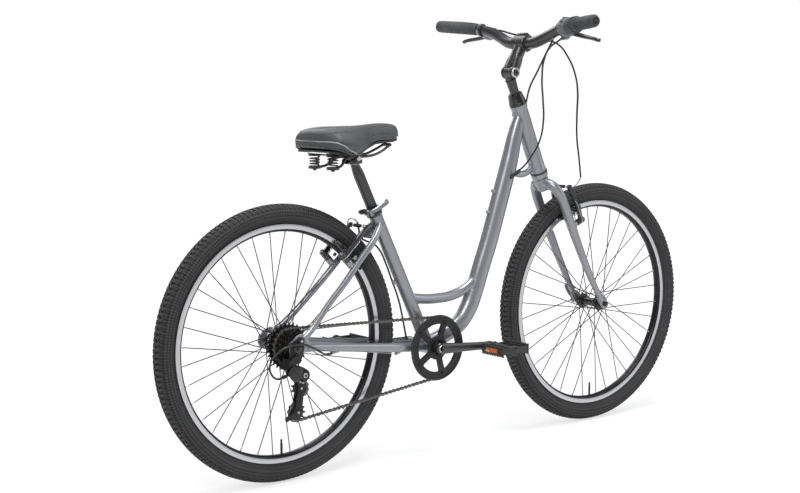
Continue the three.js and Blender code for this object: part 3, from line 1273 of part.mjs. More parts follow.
const cables = [
  named('shift_housing', housing(SHIFT_ROUTE, 16), blackPlastic),
  named('rear_brake_front_housing', housing(BRAKE_ROUTE, 18), blackPlastic),
  named('rear_brake_housing', brakeCable(REAR_CABLE_ROUTE, 96), blackPlastic),
  named('derailleur_housing', housing(LOOP_ROUTE, 14), blackPlastic),
];
bicycle.add(...cables);

const steering = new THREE.Group();
steering.position.set(...HEAD_LOWER);
steering.rotation.y = HEAD_TILT;
steering.add(
  named('headset_upper_cup', headsetUpper(), blackPaint),
  named('fork', fork(), silver),
  named('stem_quill', stemQuill(), blackPaint),
  named('stem_arm', stemArm(), blackPaint),
  named('stem_hinge_bolt', stemHingeBolt(), steel),
  named('handlebar', handlebarForm(), blackPaint),
  named('left_grip', leftGrip(), rubber),
  named('right_grip', rightGrip(), rubber),
  named('shift_twist_grip', twistGrip(), rubber),
  named('shifter_body', shifterBody(), blackPlastic),
  named('left_lever_bracket', leverBracket(1), blackPaint),
  named('right_lever_bracket', leverBracket(-1), blackPaint),
  named('left_brake_lever', brakeLever(1), blackPaint),
  named('right_brake_lever', brakeLever(-1), blackPaint),
  named('front_brake_cable', brakeCable(FRONT_CABLE_ROUTE, 100), blackPlastic),
);
bicycle.add(steering);

const frontBrake = new THREE.Group();
frontBrake.position.set(...FRONT_AXLE);
frontBrake.rotation.y = HEAD_TILT;
frontBrake.add(
  named('front_left_brake_arm', brakeArm(1, FRONT_LEG_BACK), blackPaint),
  named('front_right_brake_arm', brakeArm(-1, FRONT_LEG_BACK), blackPaint),
);
bicycle.add(frontBrake);

const rearBrake = new THREE.Group();
rearBrake.position.set(...REAR_AXLE);
rearBrake.setRotationFromMatrix(new THREE.Matrix4().makeBasis(
  new THREE.Vector3(-Math.sin(BRAKE_HEADING), 0, Math.cos(BRAKE_HEADING)),
  new THREE.Vector3(0, -1, 0),
  new THREE.Vector3(Math.cos(BRAKE_HEADING), 0, Math.sin(BRAKE_HEADING)),
));
rearBrake.add(
  named('rear_left_brake_arm', brakeArm(-1, REAR_STAY_BACK), blackPaint),
  named('rear_right_brake_arm', brakeArm(1, REAR_STAY_BACK), blackPaint),
);
bicycle.add(rearBrake);

const frontWheel = wheel('front', FRONT_HUB);
frontWheel.position.set(...FRONT_AXLE);
const rearWheel = wheel('rear', REAR_HUB);
rearWheel.position.set(...REAR_AXLE);
bicycle.add(frontWheel, rearWheel);

export default bicycle;
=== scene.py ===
"""A step through bicycle: detailed pieces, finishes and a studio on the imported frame."""

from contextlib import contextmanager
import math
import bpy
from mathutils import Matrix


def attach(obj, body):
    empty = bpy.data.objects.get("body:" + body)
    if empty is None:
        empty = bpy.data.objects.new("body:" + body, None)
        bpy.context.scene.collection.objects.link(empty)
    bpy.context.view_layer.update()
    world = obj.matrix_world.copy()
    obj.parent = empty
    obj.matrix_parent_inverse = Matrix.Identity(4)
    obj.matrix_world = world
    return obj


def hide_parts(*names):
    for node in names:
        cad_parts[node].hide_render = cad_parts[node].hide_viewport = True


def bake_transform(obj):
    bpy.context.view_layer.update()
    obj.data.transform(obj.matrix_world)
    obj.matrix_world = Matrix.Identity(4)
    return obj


bl_info = {
    "name": "Step Through Bicycle",
    "version": (1, 0, 0),
    "blender": (4, 5, 0),
    "location": "View3D > Sidebar > Bicycle",
    "description": "Models the visible pieces of a step through bicycle and gives each its finish",
    "category": "Object",
}

import bpy
from bpy.props import FloatProperty, FloatVectorProperty, IntProperty, PointerProperty
from bpy.types import Operator, Panel, PropertyGroup
from mathutils import Matrix, Vector

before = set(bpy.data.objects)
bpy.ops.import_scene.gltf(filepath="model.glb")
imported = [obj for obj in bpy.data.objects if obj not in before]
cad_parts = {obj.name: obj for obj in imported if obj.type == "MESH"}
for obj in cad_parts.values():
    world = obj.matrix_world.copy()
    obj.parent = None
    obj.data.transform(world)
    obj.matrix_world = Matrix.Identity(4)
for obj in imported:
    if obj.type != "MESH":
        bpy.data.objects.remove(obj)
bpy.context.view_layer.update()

# Driving sizes, in millimetres, as in the solids
MM = 0.001
AXLE_HEIGHT = 346
REAR_AXLE = (-541, 0, AXLE_HEIGHT)
FRONT_AXLE = (541, 0, AXLE_HEIGHT)
BRACKET_AXLE = (-81, 0, 290)
HEAD_AHEAD = (0.9205, 0.3907)
HEAD_FOOT = (329, 725)
POST_TOP = (-315.4, 0, 793.7)
SEAT_TUBE_FOOT = (-73, 0, 290)
SEAT_TUBE_RISE = (-0.4337, 0, 0.9011)
STEM_HINGE = (5, 0, 302)
BAR_CLAMP = (75, 0, 357)
SHIFTER_SPOT = (92, -171, 393.2)
UPWARDS = (0, 0, 1)
SIDEWAYS = (0, -1, 0)
ENDS = (("front", FRONT_AXLE), ("rear", REAR_AXLE))
RIGHT_LEFT = ((-1, "right"), (1, "left"))


def at_head(point):
    """A place on the steering axis' own frame (ahead, across, up), in the row frame."""
    ahead, across, up = point
    cos, sin = HEAD_AHEAD
    return (HEAD_FOOT[0] + ahead * cos - up * sin, across, HEAD_FOOT[1] + ahead * sin + up * cos)


def moved(place):
    """The matrix of a move in millimetres."""
    return Matrix.Translation(Vector(place) * MM)


def beside(axle, across):
    """The place that far across on an axle's line."""
    return (axle[0], across, axle[2])


def on_axle(centre, across):
    """The place that far across on an axle that is given by its x and z."""
    return (centre[0], across, centre[1])


def round_about(centre, radius, turn):
    """The x and z at a radius and an angle from a centre."""
    return (centre[0] + math.cos(turn) * radius, centre[1] + math.sin(turn) * radius)


def on_side(route, side):
    """A route that is given for the left side, taken to the side that is asked for."""
    return [(x, side * y, z) for x, y, z in route]


def head_matrix():
    """Turns and moves a piece that is modelled on the steering axis."""
    cos, sin = HEAD_AHEAD
    return moved(at_head((0, 0, 0))) @ Matrix.Rotation(-math.atan2(sin, cos), 4, "Y")


def up_seat_tube(distance):
    """A place on the seat tube's axis, that far from the bottom bracket."""
    return tuple(start + rise * distance for start, rise in zip(SEAT_TUBE_FOOT, SEAT_TUBE_RISE))


def mirrored(point):
    """The place on the bicycle's other side."""
    return (point[0], -point[1], point[2])


# Shader nodes written as sums


class Wire:
    """The output of a shader node. Arithmetic on it adds Math nodes."""

    def __init__(self, tree, socket):
        self.tree = tree
        self.socket = socket

    def worked(self, operation, first, second=0.0):
        node = self.tree.nodes.new("ShaderNodeMath")
        node.operation = operation
        for socket, value in zip(node.inputs, (first, second)):
            join(self.tree, socket, value)
        return Wire(self.tree, node.outputs[0])

    def __add__(self, other):
        return self.worked("ADD", self, other)

    def __sub__(self, other):
        return self.worked("SUBTRACT", self, other)

    def __rsub__(self, other):
        return self.worked("SUBTRACT", other, self)

    def __mul__(self, other):
        return self.worked("MULTIPLY", self, other)

    def __pow__(self, other):
        return self.worked("POWER", self, other)

    __radd__ = __add__
    __rmul__ = __mul__


def join(tree, socket, value):
    """Links a wire to a socket, or sets the socket to a plain value."""
    if isinstance(value, Wire):
        tree.links.new(value.socket, socket)
    elif socket.type == "RGBA":
        socket.default_value = (*value, 1.0)
    else:
        socket.default_value = value


class Finish:
    """A material that is built up on a piece's own coordinates."""

    def __init__(self, name, **uniform):
        self.material = bpy.data.materials.new(name)
        self.material.use_nodes = True
        self.tree = self.material.node_tree
        self.shader = self.tree.nodes["Principled BSDF"]
        for socket, value in uniform.items():
            title = socket.replace("_", " ").title().replace("Ior", "IOR")
            self.shader.inputs[title].default_value = value
        self.place = self.node("ShaderNodeTexCoord", output="Object")

    def node(self, kind, settings=None, output=0, sockets=None):
        """One node: its settings first, then the values or wires of its sockets."""
        node = self.tree.nodes.new(kind)
        for setting, value in (settings or {}).items():
            setattr(node, setting, value)
        for socket, value in (sockets or {}).items():
            join(self.tree, node.inputs[socket], value)
        return Wire(self.tree, node.outputs[output])

    def noise(self, scale, detail=2.0, place=None):
        sockets = {"Vector": place or self.place, "Scale": scale, "Detail": detail}
        return self.node("ShaderNodeTexNoise", sockets=sockets)

    def cells(self, scale, feature="F1", place=None):
        sockets = {"Vector": place or self.place, "Scale": scale}
        settings = {"feature": feature}
        return self.node("ShaderNodeTexVoronoi", settings, "Distance", sockets)

    def stretched(self, scale, turn=(0, 0, 0), move=(0, 0, 0)):
        """The piece's coordinates after a move, a turn and a stretch."""
        sockets = {"Vector": self.place, "Scale": scale, "Rotation": turn, "Location": move}
        return self.node("ShaderNodeMapping", sockets=sockets)

    def maths(self, operation, *values):
        """A Math node that has no operator of its own."""
        sockets = dict(enumerate(values))
        return self.node("ShaderNodeMath", {"operation": operation}, sockets=sockets)

    def about(self, centre, scale=(1, 1, 1)):
        """The x, y and z from a centre in millimetres, and the distance from its axis."""
        node = self.tree.nodes.new("ShaderNodeSeparateXYZ")
        move = tuple(-part * MM for part in centre)
        join(self.tree, node.inputs[0], self.stretched(scale, (0, 0, 0), move))
        ahead, across, up = [Wire(self.tree, socket) for socket in node.outputs]
        return ahead, across, up, (ahead * ahead + up * up) ** 0.5

    def steps(self, value, low, high):
        """0 below low and 1 above high, with a smooth rise between."""
        settings = {"interpolation_type": "SMOOTHSTEP"}
        sockets = {"Value": value, "From Min": low, "From Max": high}
        return self.node("ShaderNodeMapRange", settings, sockets=sockets)

    def mixed(self, factor, first, second):
        """Two colours mixed by a factor."""
        node = self.tree.nodes.new("ShaderNodeMix")
        node.data_type = "RGBA"
        for socket, value in ((0, factor), (6, first), (7, second)):
            join(self.tree, node.inputs[socket], value)
        return Wire(self.tree, node.outputs[2])

    def surface(self, colour=None, roughness=None, height=None, depth=0.0002, metal=None):
        """Feeds the shader, with height as a bump of that depth in metres."""
        given = {"Base Color": colour, "Roughness": roughness, "Metallic": metal}
        for socket, value in given.items():
            if value is not None:
                join(self.tree, self.shader.inputs[socket], value)
        if height is not None:
            sockets = {"Height": height, "Distance": depth, "Strength": 1.0}
            bump = self.node("ShaderNodeBump", sockets=sockets)
            join(self.tree, self.shader.inputs["Normal"], bump)
        return self.material


def shade(colour, factor):
    """A colour made darker or lighter."""
    return tuple(min(1.0, part * factor) for part in colour)


# Finishes


def satin_paint(name, colour, metal=0.0, gloss=0.34):
    """Sprayed paint with fine flakes, faint orange peel and a clear coat."""
    finish = Finish(name, coat_weight=0.35, coat_roughness=0.16)
    flakes = finish.noise(2600, 1.0)
    broad = finish.noise(9, 3.0)
    toned = finish.mixed(broad, shade(colour, 0.93), shade(colour, 1.06))
    flecked = finish.mixed(finish.steps(flakes, 0.52, 0.72) * 0.35, toned, shade(colour, 1.5))
    peel = finish.noise(420, 1.0)
    roughness = broad * 0.07 + (gloss - 0.035) + flakes * 0.04
    return finish.surface(flecked, roughness, peel, 0.00003, metal)


def moulded_plastic(name, colour, gloss=0.5, grain=900):
    """Injection moulded plastic with a fine spark-eroded grain and faint scuffs."""
    finish = Finish(name, specular_ior_level=0.45)
    fine = finish.noise(grain, 2.0)
    broad = finish.noise(22, 4.0)
    scuffs = finish.steps(finish.noise(70, 6.0, finish.stretched((1, 5, 2))), 0.6, 0.72)
    toned = finish.mixed(broad, shade(colour, 0.85), shade(colour, 1.18))
    lightened = finish.mixed(scuffs * 0.25, toned, shade(colour, 2.0))
    return finish.surface(lightened, fine * 0.1 + broad * 0.1 + (gloss - 0.1), fine, 0.00008)


def tyre_rubber(name, colour, axle):
    """Tyre rubber: lighter on top of the tread blocks, with painted shade down in the grooves."""
    finish = Finish(name, specular_ior_level=0.35)
    ahead, across, up, radius = finish.about(axle)
    aside = finish.maths("ABSOLUTE", across)
    crown = radius + aside * aside * 14.0
    top = finish.steps(crown, 0.3436, 0.3456)
    tread = finish.steps(radius, 0.317, 0.322)
    fine = finish.noise(700, 3.0)
    broad = finish.noise(14, 4.0)
    dusty = finish.mixed(finish.steps(broad, 0.35, 0.75), shade(colour, 0.7), shade(colour, 0.95))
    # The tops of the tread blocks are made lighter.
    lightened = finish.mixed(top * 0.9, dusty, shade(colour, 2.1))
    # Painted shade: the tread between and below the block tops is darkened.
    grooved = finish.mixed((1 - top) * tread * 0.75, lightened, shade(colour, 0.4))
    turned = finish.maths("ARCTAN2", up, ahead)
    rising, falling = [finish.maths("SINE", turned * 150 + radius * lean) for lean in (380, -380)]
    ribs = finish.steps(rising * falling, -0.15, 0.15)
    ribbed = finish.mixed(ribs * (1 - top) * 0.8, grooved, shade(colour, 1.5))
    return finish.surface(ribbed, fine * 0.14 + 0.7, fine, 0.00012)


def rubber(name, colour, grain=700, rough=0.78):
    """Matte rubber with dusty high spots."""
    finish = Finish(name, specular_ior_level=0.35)
    fine = finish.noise(grain, 3.0)
    broad = finish.noise(14, 4.0)
    dusty = finish.mixed(finish.steps(broad, 0.35, 0.75), shade(colour, 0.8), shade(colour, 1.45))
    return finish.surface(dusty, fine * 0.14 + (rough - 0.07), fine, 0.00012)


def bare_metal(name, colour, rough=0.3, brush=(1, 1, 1), marks=160):
    """Bare or plated metal with fine machining marks and slight stains."""
    finish = Finish(name, specular_ior_level=0.5)
    lines = finish.noise(marks, 3.0, finish.stretched(brush))
    stain = finish.noise(35, 4.0)
    toned = finish.mixed(stain, shade(colour, 0.8), shade(colour, 1.12))
    lined = finish.mixed(lines * 0.4, toned, shade(colour, 1.25))
    return finish.surface(lined, lines * 0.16 + stain * 0.12 + (rough - 0.12), lines, 0.00004, 1.0)


def turned_ring(name, colour, axle, rough=0.24, metal=1.0):
    """Metal or anodised skin that was turned on a lathe about a wheel's axle."""
    finish = Finish(name, specular_ior_level=0.5)
    *_, radius = finish.about(axle)
    spread = finish.node("ShaderNodeCombineXYZ", sockets={"X": radius * 1600.0, "Y": 0.5})
    grooves = finish.noise(1.0, 2.0, spread)
    stain = finish.noise(28, 4.0)
    toned = finish.mixed(grooves, shade(colour, 0.78), shade(colour, 1.15))
    stained = finish.mixed(stain * 0.4, toned, shade(colour, 0.7))
    return finish.surface(
        stained, grooves * 0.2 + stain * 0.1 + (rough - 0.1), grooves, 0.00003, metal,
    )


def oiled_steel(name, colour, rough=0.38):
    """Dark steel with brown oil film and bright rubbed spots."""
    finish = Finish(name, specular_ior_level=0.5)
    film = finish.noise(120, 5.0)
    rubbed = finish.steps(finish.noise(380, 3.0), 0.5, 0.75)
    brown = tuple(part * tint for part, tint in zip(colour, (0.8, 0.76, 0.7)))
    oily = finish.mixed(finish.steps(film, 0.4, 0.65), colour, brown)
    return finish.surface(
        finish.mixed(rubbed * 0.5, oily, shade(colour, 1.8)), film * 0.22 + (rough - 0.11), film,
        0.00006, 0.85,
    )


def leatherette(name, colour):
    """Pressed leather grain: pebbles with fine creases between them, and painted shade in the
    creases.
    """
    finish = Finish(name, specular_ior_level=0.4)
    wander = finish.noise(90, 2.0)
    pebbles = finish.cells(620, "SMOOTH_F1", finish.stretched((1, 1.15, 1)))
    creases = finish.cells(260, "DISTANCE_TO_EDGE")
    cut = finish.steps(creases, 0.0, 0.09)
    broad = finish.noise(11, 3.0)
    toned = finish.mixed(broad, shade(colour, 0.86), shade(colour, 1.12))
    # Painted shade: the creases between the pebbles are darkened.
    grain_and_crease_shade = finish.mixed(cut * 0.75 + 0.25, shade(colour, 0.55), toned)
    height = (1 - pebbles) * 0.5 + cut * 0.4 + wander * 0.2
    return finish.surface(grain_and_crease_shade, broad * 0.12 + (1 - cut) * 0.2 + 0.42, height, 0.00022)


def reflector(name, colour):
    """A reflector's lens over its grid of small corner cubes, with a painted highlight in the
    middle of each cube and painted shade round its edges.
    """
    finish = Finish(name, coat_weight=1.0, coat_roughness=0.04, specular_ior_level=0.6)
    grid = finish.cells(420, "F1", finish.stretched((1, 1, 1), (0.0, 0.0, 0.5)))
    # Painted highlight and shade: each corner cube is lighter in its middle and darker at its
    # edges.
    lit = finish.mixed(finish.steps(grid, 0.15, 0.6), shade(colour, 1.35), shade(colour, 0.45))
    return finish.surface(lit, 0.22, grid, 0.0003)


FINISHES = {}


def make_finishes(colours):
    """One material for each of the bicycle's finishes."""
    silver = tuple(colours.frame_silver)
    black = tuple(colours.fittings_black)
    tyre = tuple(colours.tyre_charcoal)
    saddle = tuple(colours.saddle_grey)
    FINISHES.update(
        frame_paint=satin_paint("frame_silver_paint", silver, 0.55, 0.28),
        black_paint=satin_paint("fittings_black_paint", shade(black, 1.1), 0.0, 0.3),
        anodised=satin_paint("black_anodised", shade(black, 0.6), 0.2, 0.2),
        plastic=moulded_plastic("black_plastic", shade(black, 1.4), 0.48),
        guard=moulded_plastic("guard_plastic", shade(black, 0.35), 0.46, 1400),
        grey_plastic=moulded_plastic("grey_plastic", (0.11, 0.115, 0.125), 0.42),
        grip=rubber("grip_rubber", (0.066, 0.067, 0.07), 900, 0.7),
        front_tyre=tyre_rubber("front_tyre_rubber", tyre, FRONT_AXLE),
        rear_tyre=tyre_rubber("rear_tyre_rubber", tyre, REAR_AXLE),
        pad_rubber=rubber("brake_rubber", (0.02, 0.02, 0.021), 900, 0.7),
        boot=rubber("boot_rubber", (0.012, 0.012, 0.013), 700, 0.5),
        leather=leatherette("saddle_leatherette", saddle),
        piping=leatherette("saddle_piping", (0.36, 0.36, 0.37)),
        steel=bare_metal("zinc_plated_steel", (0.5, 0.5, 0.51), 0.3),
        cast=bare_metal("cast_aluminium", (0.24, 0.245, 0.26), 0.36),
        spoke=bare_metal("spoke_steel", (0.1, 0.102, 0.107), 0.36, (1, 1, 1), 900),
        dark_steel=oiled_steel("dark_sprocket_steel", (0.034, 0.033, 0.032), 0.34),
        chain_steel=oiled_steel("chain_steel", (0.125, 0.123, 0.119), 0.34),
        housing=moulded_plastic("cable_housing", (0.009, 0.009, 0.01), 0.24, 1600),
        inner_wire=bare_metal("inner_wire", (0.5, 0.5, 0.5), 0.3, (1, 1, 1), 2200),
        orange=reflector("orange_reflector", tuple(colours.reflector_orange)),
        front_rim=turned_ring("front_rim_black", (0.016, 0.016, 0.018), FRONT_AXLE, 0.26, 0.5),
        rear_rim=turned_ring("rear_rim_black", (0.016, 0.016, 0.018), REAR_AXLE, 0.26, 0.5),
        front_track=turned_ring("front_brake_track", (0.6, 0.6, 0.62), FRONT_AXLE, 0.24),
        rear_track=turned_ring("rear_brake_track", (0.6, 0.6, 0.62), REAR_AXLE, 0.24),
    )


# Modelling helpers


def pick(*pieces):
    """Goes back to object mode and selects only these pieces."""
    if bpy.context.object and bpy.context.object.mode != "OBJECT":
        bpy.ops.object.mode_set(mode="OBJECT")
    bpy.ops.object.select_all(action="DESELECT")
    for piece in pieces:
        piece.select_set(True)
        bpy.context.view_layer.objects.active = piece


def smoothed(piece, angle=35):
    """Shades a piece smooth, with edges sharper than the angle left crisp."""
    pick(piece)
    bpy.ops.object.shade_smooth_by_angle(angle=math.radians(angle))
    return piece


def applied(piece, kind, **settings):
    """Adds one modifier and applies it."""
    pick(piece)
    modifier = piece.modifiers.new(kind.title(), kind)
    for setting, value in settings.items():
        setattr(modifier, setting, value)
    bpy.ops.object.modifier_apply(modifier=modifier.name)
    return piece


def rounded(piece, width=0.6, segments=2, angle=35):
    """Rounds a piece's edges, by a width in millimetres."""
    applied(
        piece, "BEVEL", width=width * MM, segments=segments, limit_method="ANGLE",
        angle_limit=math.radians(angle), harden_normals=False,
    )
    return smoothed(piece, angle)


@contextmanager
def editing(piece):
    """Edit mode, with all of one piece selected."""
    pick(piece)
    bpy.ops.object.mode_set(mode="EDIT")
    bpy.ops.mesh.select_all(action="SELECT")
    yield
    bpy.ops.object.mode_set(mode="OBJECT")


def outward(piece, gap=0.01):
    """Merges doubled points and turns every face outwards."""
    with editing(piece):
        bpy.ops.mesh.remove_doubles(threshold=gap * MM)
        bpy.ops.mesh.normals_make_consistent(inside=False)
    return piece


def settled(piece, matrix=None):
    """Moves a piece and puts its place into its mesh."""
    if matrix is not None:
        piece.matrix_world = matrix
    pick(piece)
    bpy.ops.object.transform_apply(location=True, rotation=True, scale=True)
    return piece


def joined(pieces):
    """One piece from several."""
    pick(*pieces)
    bpy.ops.object.join()
    return bpy.context.object


def cut_out(piece, cutters):
    """Takes cutters out of a piece."""
    for cutter in cutters:
        applied(piece, "BOOLEAN", operation="DIFFERENCE", object=cutter, solver="EXACT")
        bpy.data.objects.remove(cutter)
    return piece


def finished(piece, name, body, *finishes, stands_for=()):
    """Names a piece or a list that makes one, and gives it its finishes and its body."""
    if isinstance(piece, list):
        piece = joined(piece)
    piece.name = name
    piece.data.name = name
    if finishes:
        piece.data.materials.clear()
        for finish in finishes:
            piece.data.materials.append(FINISHES[finish])
    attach(piece, body)
    if stands_for:
        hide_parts(*stands_for)
    return piece


def refined(node, body, *finishes, width=0.5, angle=35):
    """A merged, edge-rounded copy of a solid that stands for it."""
    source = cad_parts[node]
    piece = bpy.data.objects.new(node + "_dressed", source.data.copy())
    bpy.context.scene.collection.objects.link(piece)
    with editing(piece):
        bpy.ops.mesh.remove_doubles(threshold=0.01 * MM)
        bpy.ops.mesh.dissolve_limited(angle_limit=math.radians(1))
    rounded(piece, width, 2, angle)
    return finished(piece, node + "_dressed", body, *finishes, stands_for=(node,))


def loop(points):
    """A closed loop of edges through these places, in millimetres."""
    pick()
    bpy.ops.mesh.primitive_circle_add(vertices=len(points), radius=0.01)
    piece = bpy.context.object
    for vertex, point in zip(piece.data.vertices, points):
        vertex.co = Vector(point) * MM
    return piece


def spun(outline, axis_point=(0, 0, 0), axis=(0, 1, 0), steps=64, matrix=None, angle=30):
    """A solid of revolution. The outline gives (radius, along the axis) in millimetres."""
    axis = Vector(axis).normalized()
    side = axis.orthogonal().normalized()
    centre = Vector(axis_point)
    piece = loop([centre + side * radius + axis * along for radius, along in outline])
    with editing(piece):
        bpy.ops.mesh.spin(steps=steps, angle=math.tau, center=centre * MM, axis=axis)
    outward(piece)
    if matrix:
        settled(piece, matrix)
    return smoothed(piece, angle) if angle else piece


def on_column(outline, steps, angle=30):
    """A solid of revolution about the steering axis."""
    return spun(outline, axis=UPWARDS, steps=steps, matrix=head_matrix(), angle=angle)


def ringed(piece, count, centre, axis=(0, 1, 0)):
    """Repeats all of a piece around an axis, that many in all."""
    with editing(piece):
        bpy.ops.mesh.spin(
            steps=count - 1, dupli=True, angle=math.tau * (count - 1) / count,
            center=Vector(centre) * MM, axis=axis,
        )
    return piece


def swept(route, radii, depth, around, along, capped):
    """The mesh of the active curve, led through a route with a radius at each place."""
    curve = bpy.context.object.data
    line = curve.splines[0]
    line.bezier_points.add(len(route) - len(line.bezier_points))
    for point, place, radius in zip(line.bezier_points, route, radii):
        point.co = Vector(place) * MM
        point.handle_left_type = "AUTO"
        point.handle_right_type = "AUTO"
        point.radius = radius
    curve.bevel_depth = depth
    curve.bevel_resolution = around
    curve.resolution_u = along
    curve.use_fill_caps = capped
    bpy.ops.object.convert(target="MESH")
    return bpy.context.object


def tube(route, radii, flatten=1.0, around=10, along=6, closed=False):
    """A round tube through these places. The radii are (share of the way, radius).

    A tube is flattened across y by scaling it there, so its route is spread first."""
    pick()
    bpy.ops.curve.primitive_bezier_curve_add()
    bpy.context.object.data.splines[0].use_cyclic_u = closed
    spans = [0.0]
    for first, second in zip(route, route[1:]):
        spans.append(spans[-1] + (Vector(second) - Vector(first)).length)
    stops = radii if isinstance(radii, (list, tuple)) else [(0, radii), (1, radii)]
    spread = [(x, y / flatten, z) for x, y, z in route]
    radii = [between(stops, span / spans[-1]) for span in spans]
    piece = swept(spread, radii, MM, around, along, not closed)
    if flatten != 1.0:
        piece.scale = (1.0, flatten, 1.0)
        settled(piece)
    return smoothed(outward(piece), 50)


def between(stops, share):
    """The value at a share of the way through a list of (share, value)."""
    for (low, first), (high, second) in zip(stops, stops[1:]):
        if share <= high:
            return first + (second - first) * max(0.0, share - low) / max(1e-9, high - low)
    return stops[-1][1]


def rod(start, end, radius, sides=24, edge=0.5):
    """A straight round bar with rounded ends, or a hexagon with 6 sides."""
    start, end = Vector(start), Vector(end)
    pick()
    bpy.ops.mesh.primitive_cylinder_add(
        vertices=sides, radius=radius * MM, depth=(end - start).length * MM,
        location=(start + end) / 2 * MM, rotation=(end - start).to_track_quat("Z", "Y").to_euler(),
    )
    piece = settled(bpy.context.object)
    return rounded(piece, edge, 2, 30) if edge else smoothed(piece, 30)


def block(size, centre, turn=(0, 0, 0), edge=0.8, matrix=None):
    """A box with rounded edges, turned in degrees about x, y and z."""
    pick()
    bpy.ops.mesh.primitive_cube_add(size=1)
    piece = bpy.context.object
    piece.scale = Vector(size) * MM
    piece.rotation_euler = [math.radians(part) for part in turn]
    piece.location = Vector(centre) * MM
    settled(piece)
    if matrix:
        settled(piece, matrix)
    return rounded(piece, edge, 2, 30)


def plate(outline, thickness, matrix=None, edge=0.4):
    """A flat plate from an outline of (x, z), with its thickness along y."""
    piece = loop([(x, -thickness / 2, z) for x, z in outline])
    with editing(piece):
        bpy.ops.mesh.edge_face_add()
        bpy.ops.mesh.extrude_region_move(TRANSFORM_OT_translate={"value": (0, thickness * MM, 0)})
    outward(piece)
    if matrix:
        settled(piece, matrix)
    return rounded(piece, edge, 2, 30) if edge else smoothed(piece, 30)


def socket_screw(place, direction, radius=4.0, height=4.0):
    """A round screw head with a hexagon socket, standing out along a direction."""
    shapes = []
    for sides, width, centre in ((24, radius, height / 2), (6, radius * 0.52, height)):
        pick()
        bpy.ops.mesh.primitive_cylinder_add(
            vertices=sides, radius=width * MM, depth=height * MM, location=(0, 0, centre * MM),
        )
        shapes.append(settled(bpy.context.object))
    piece = cut_out(shapes[0], shapes[1:])
    rounded(piece, radius * 0.09, 2, 40)
    turn = Vector(direction).to_track_quat("Z", "Y").to_matrix().to_4x4()
    return settled(piece, moved(place) @ turn)


# Sizes and colours that a user may change


class BicycleColours(PropertyGroup):
    frame_silver: FloatVectorProperty(
        name="Frame silver", subtype="COLOR", default=(0.262, 0.264, 0.29), min=0, max=1,
        description="Paint of the frame and fork",
    )
    fittings_black: FloatVectorProperty(
        name="Fittings black", subtype="COLOR", default=(0.018, 0.018, 0.019), min=0, max=1,
        description="Paint and plastic of the stem, bar, cranks and brakes",
    )
    tyre_charcoal: FloatVectorProperty(
        name="Tyre charcoal", subtype="COLOR", default=(0.033, 0.033, 0.034), min=0, max=1,
        description="Rubber of both tyres",
    )
    saddle_grey: FloatVectorProperty(
        name="Saddle grey", subtype="COLOR", default=(0.075, 0.076, 0.079), min=0, max=1,
        description="Cover of the saddle",
    )
    reflector_orange: FloatVectorProperty(
        name="Reflector orange", subtype="COLOR", default=(0.85, 0.17, 0.02), min=0, max=1,
        description="Lenses on the pedals",
    )


class BicycleSizes(PropertyGroup):
    tread_depth: FloatProperty(
        name="Tread depth", unit="LENGTH", default=0.0026, min=0.001, max=0.004,
        description="How far the tread blocks stand out of the tyre",
    )
    tread_pitches: IntProperty(
        name="Tread pitches", default=156, min=60, max=220,
        description="How many times the tread repeats around a tyre",
    )
    bead_radius: FloatProperty(
        name="Weld bead radius", unit="LENGTH", default=0.0022, min=0.001, max=0.004,
        description="Half the width of the welds on the frame",
    )
    saddle_puff: FloatProperty(
        name="Saddle puff", unit="LENGTH", default=0.004, min=0.0, max=0.01,
        description="How far the cushion swells between its seams",
    )


# Tyres

TREAD_RADIUS = 344
TREAD_ROWS = (
    (0.5, 6.6, 0.00, 0.36, 0.62), (7.2, 13.2, 0.36, 0.00, 0.62), (13.9, 19.2, 0.10, 0.42, 0.56),
    (19.9, 24.0, 0.42, 0.30, 0.46),
)
CARCASS = (
    (293.2, 9.4), (299.0, 10.6), (304.5, 16.6), (310.5, 21.8), (317.5, 25.4), (324.5, 26.4),
    (331.0, 24.4), (336.4, 19.4), (340.2, 13.2), (342.6, 6.6), (343.3, 0.0),
)


def carcass_radius(across):
    """The carcass' radius at a distance from its middle, on the tread side."""
    crown = CARCASS[5:][::-1]
    for (low, first), (high, second) in zip(crown, crown[1:]):
        if abs(across) <= second:
            return low + (high - low) * (abs(across) - first) / (second - first)
    return crown[-1][0]


def tread_block(corners, depth):
    """One block of tread. The corners are (along the tread, across) in millimetres."""
    pick()
    bpy.ops.mesh.primitive_cube_add(size=1)
    piece = bpy.context.object
    middle_along = sum(corner[0] for corner in corners) / 4
    middle_across = sum(corner[1] for corner in corners) / 4
    order = ((0, 0), (0, 1), (3, 0), (3, 1), (1, 0), (1, 1), (2, 0), (2, 1))
    for vertex, (corner, top) in zip(piece.data.vertices, order):
        along, across = corners[corner]
        if top:
            along += (middle_along - along) * 0.16
            across += (middle_across - across) * 0.12
        radius = carcass_radius(across) + (depth if top else -1.0)
        turn = along / TREAD_RADIUS
        vertex.co = Vector((math.cos(turn) * radius, across, math.sin(turn) * radius)) * MM
    return piece


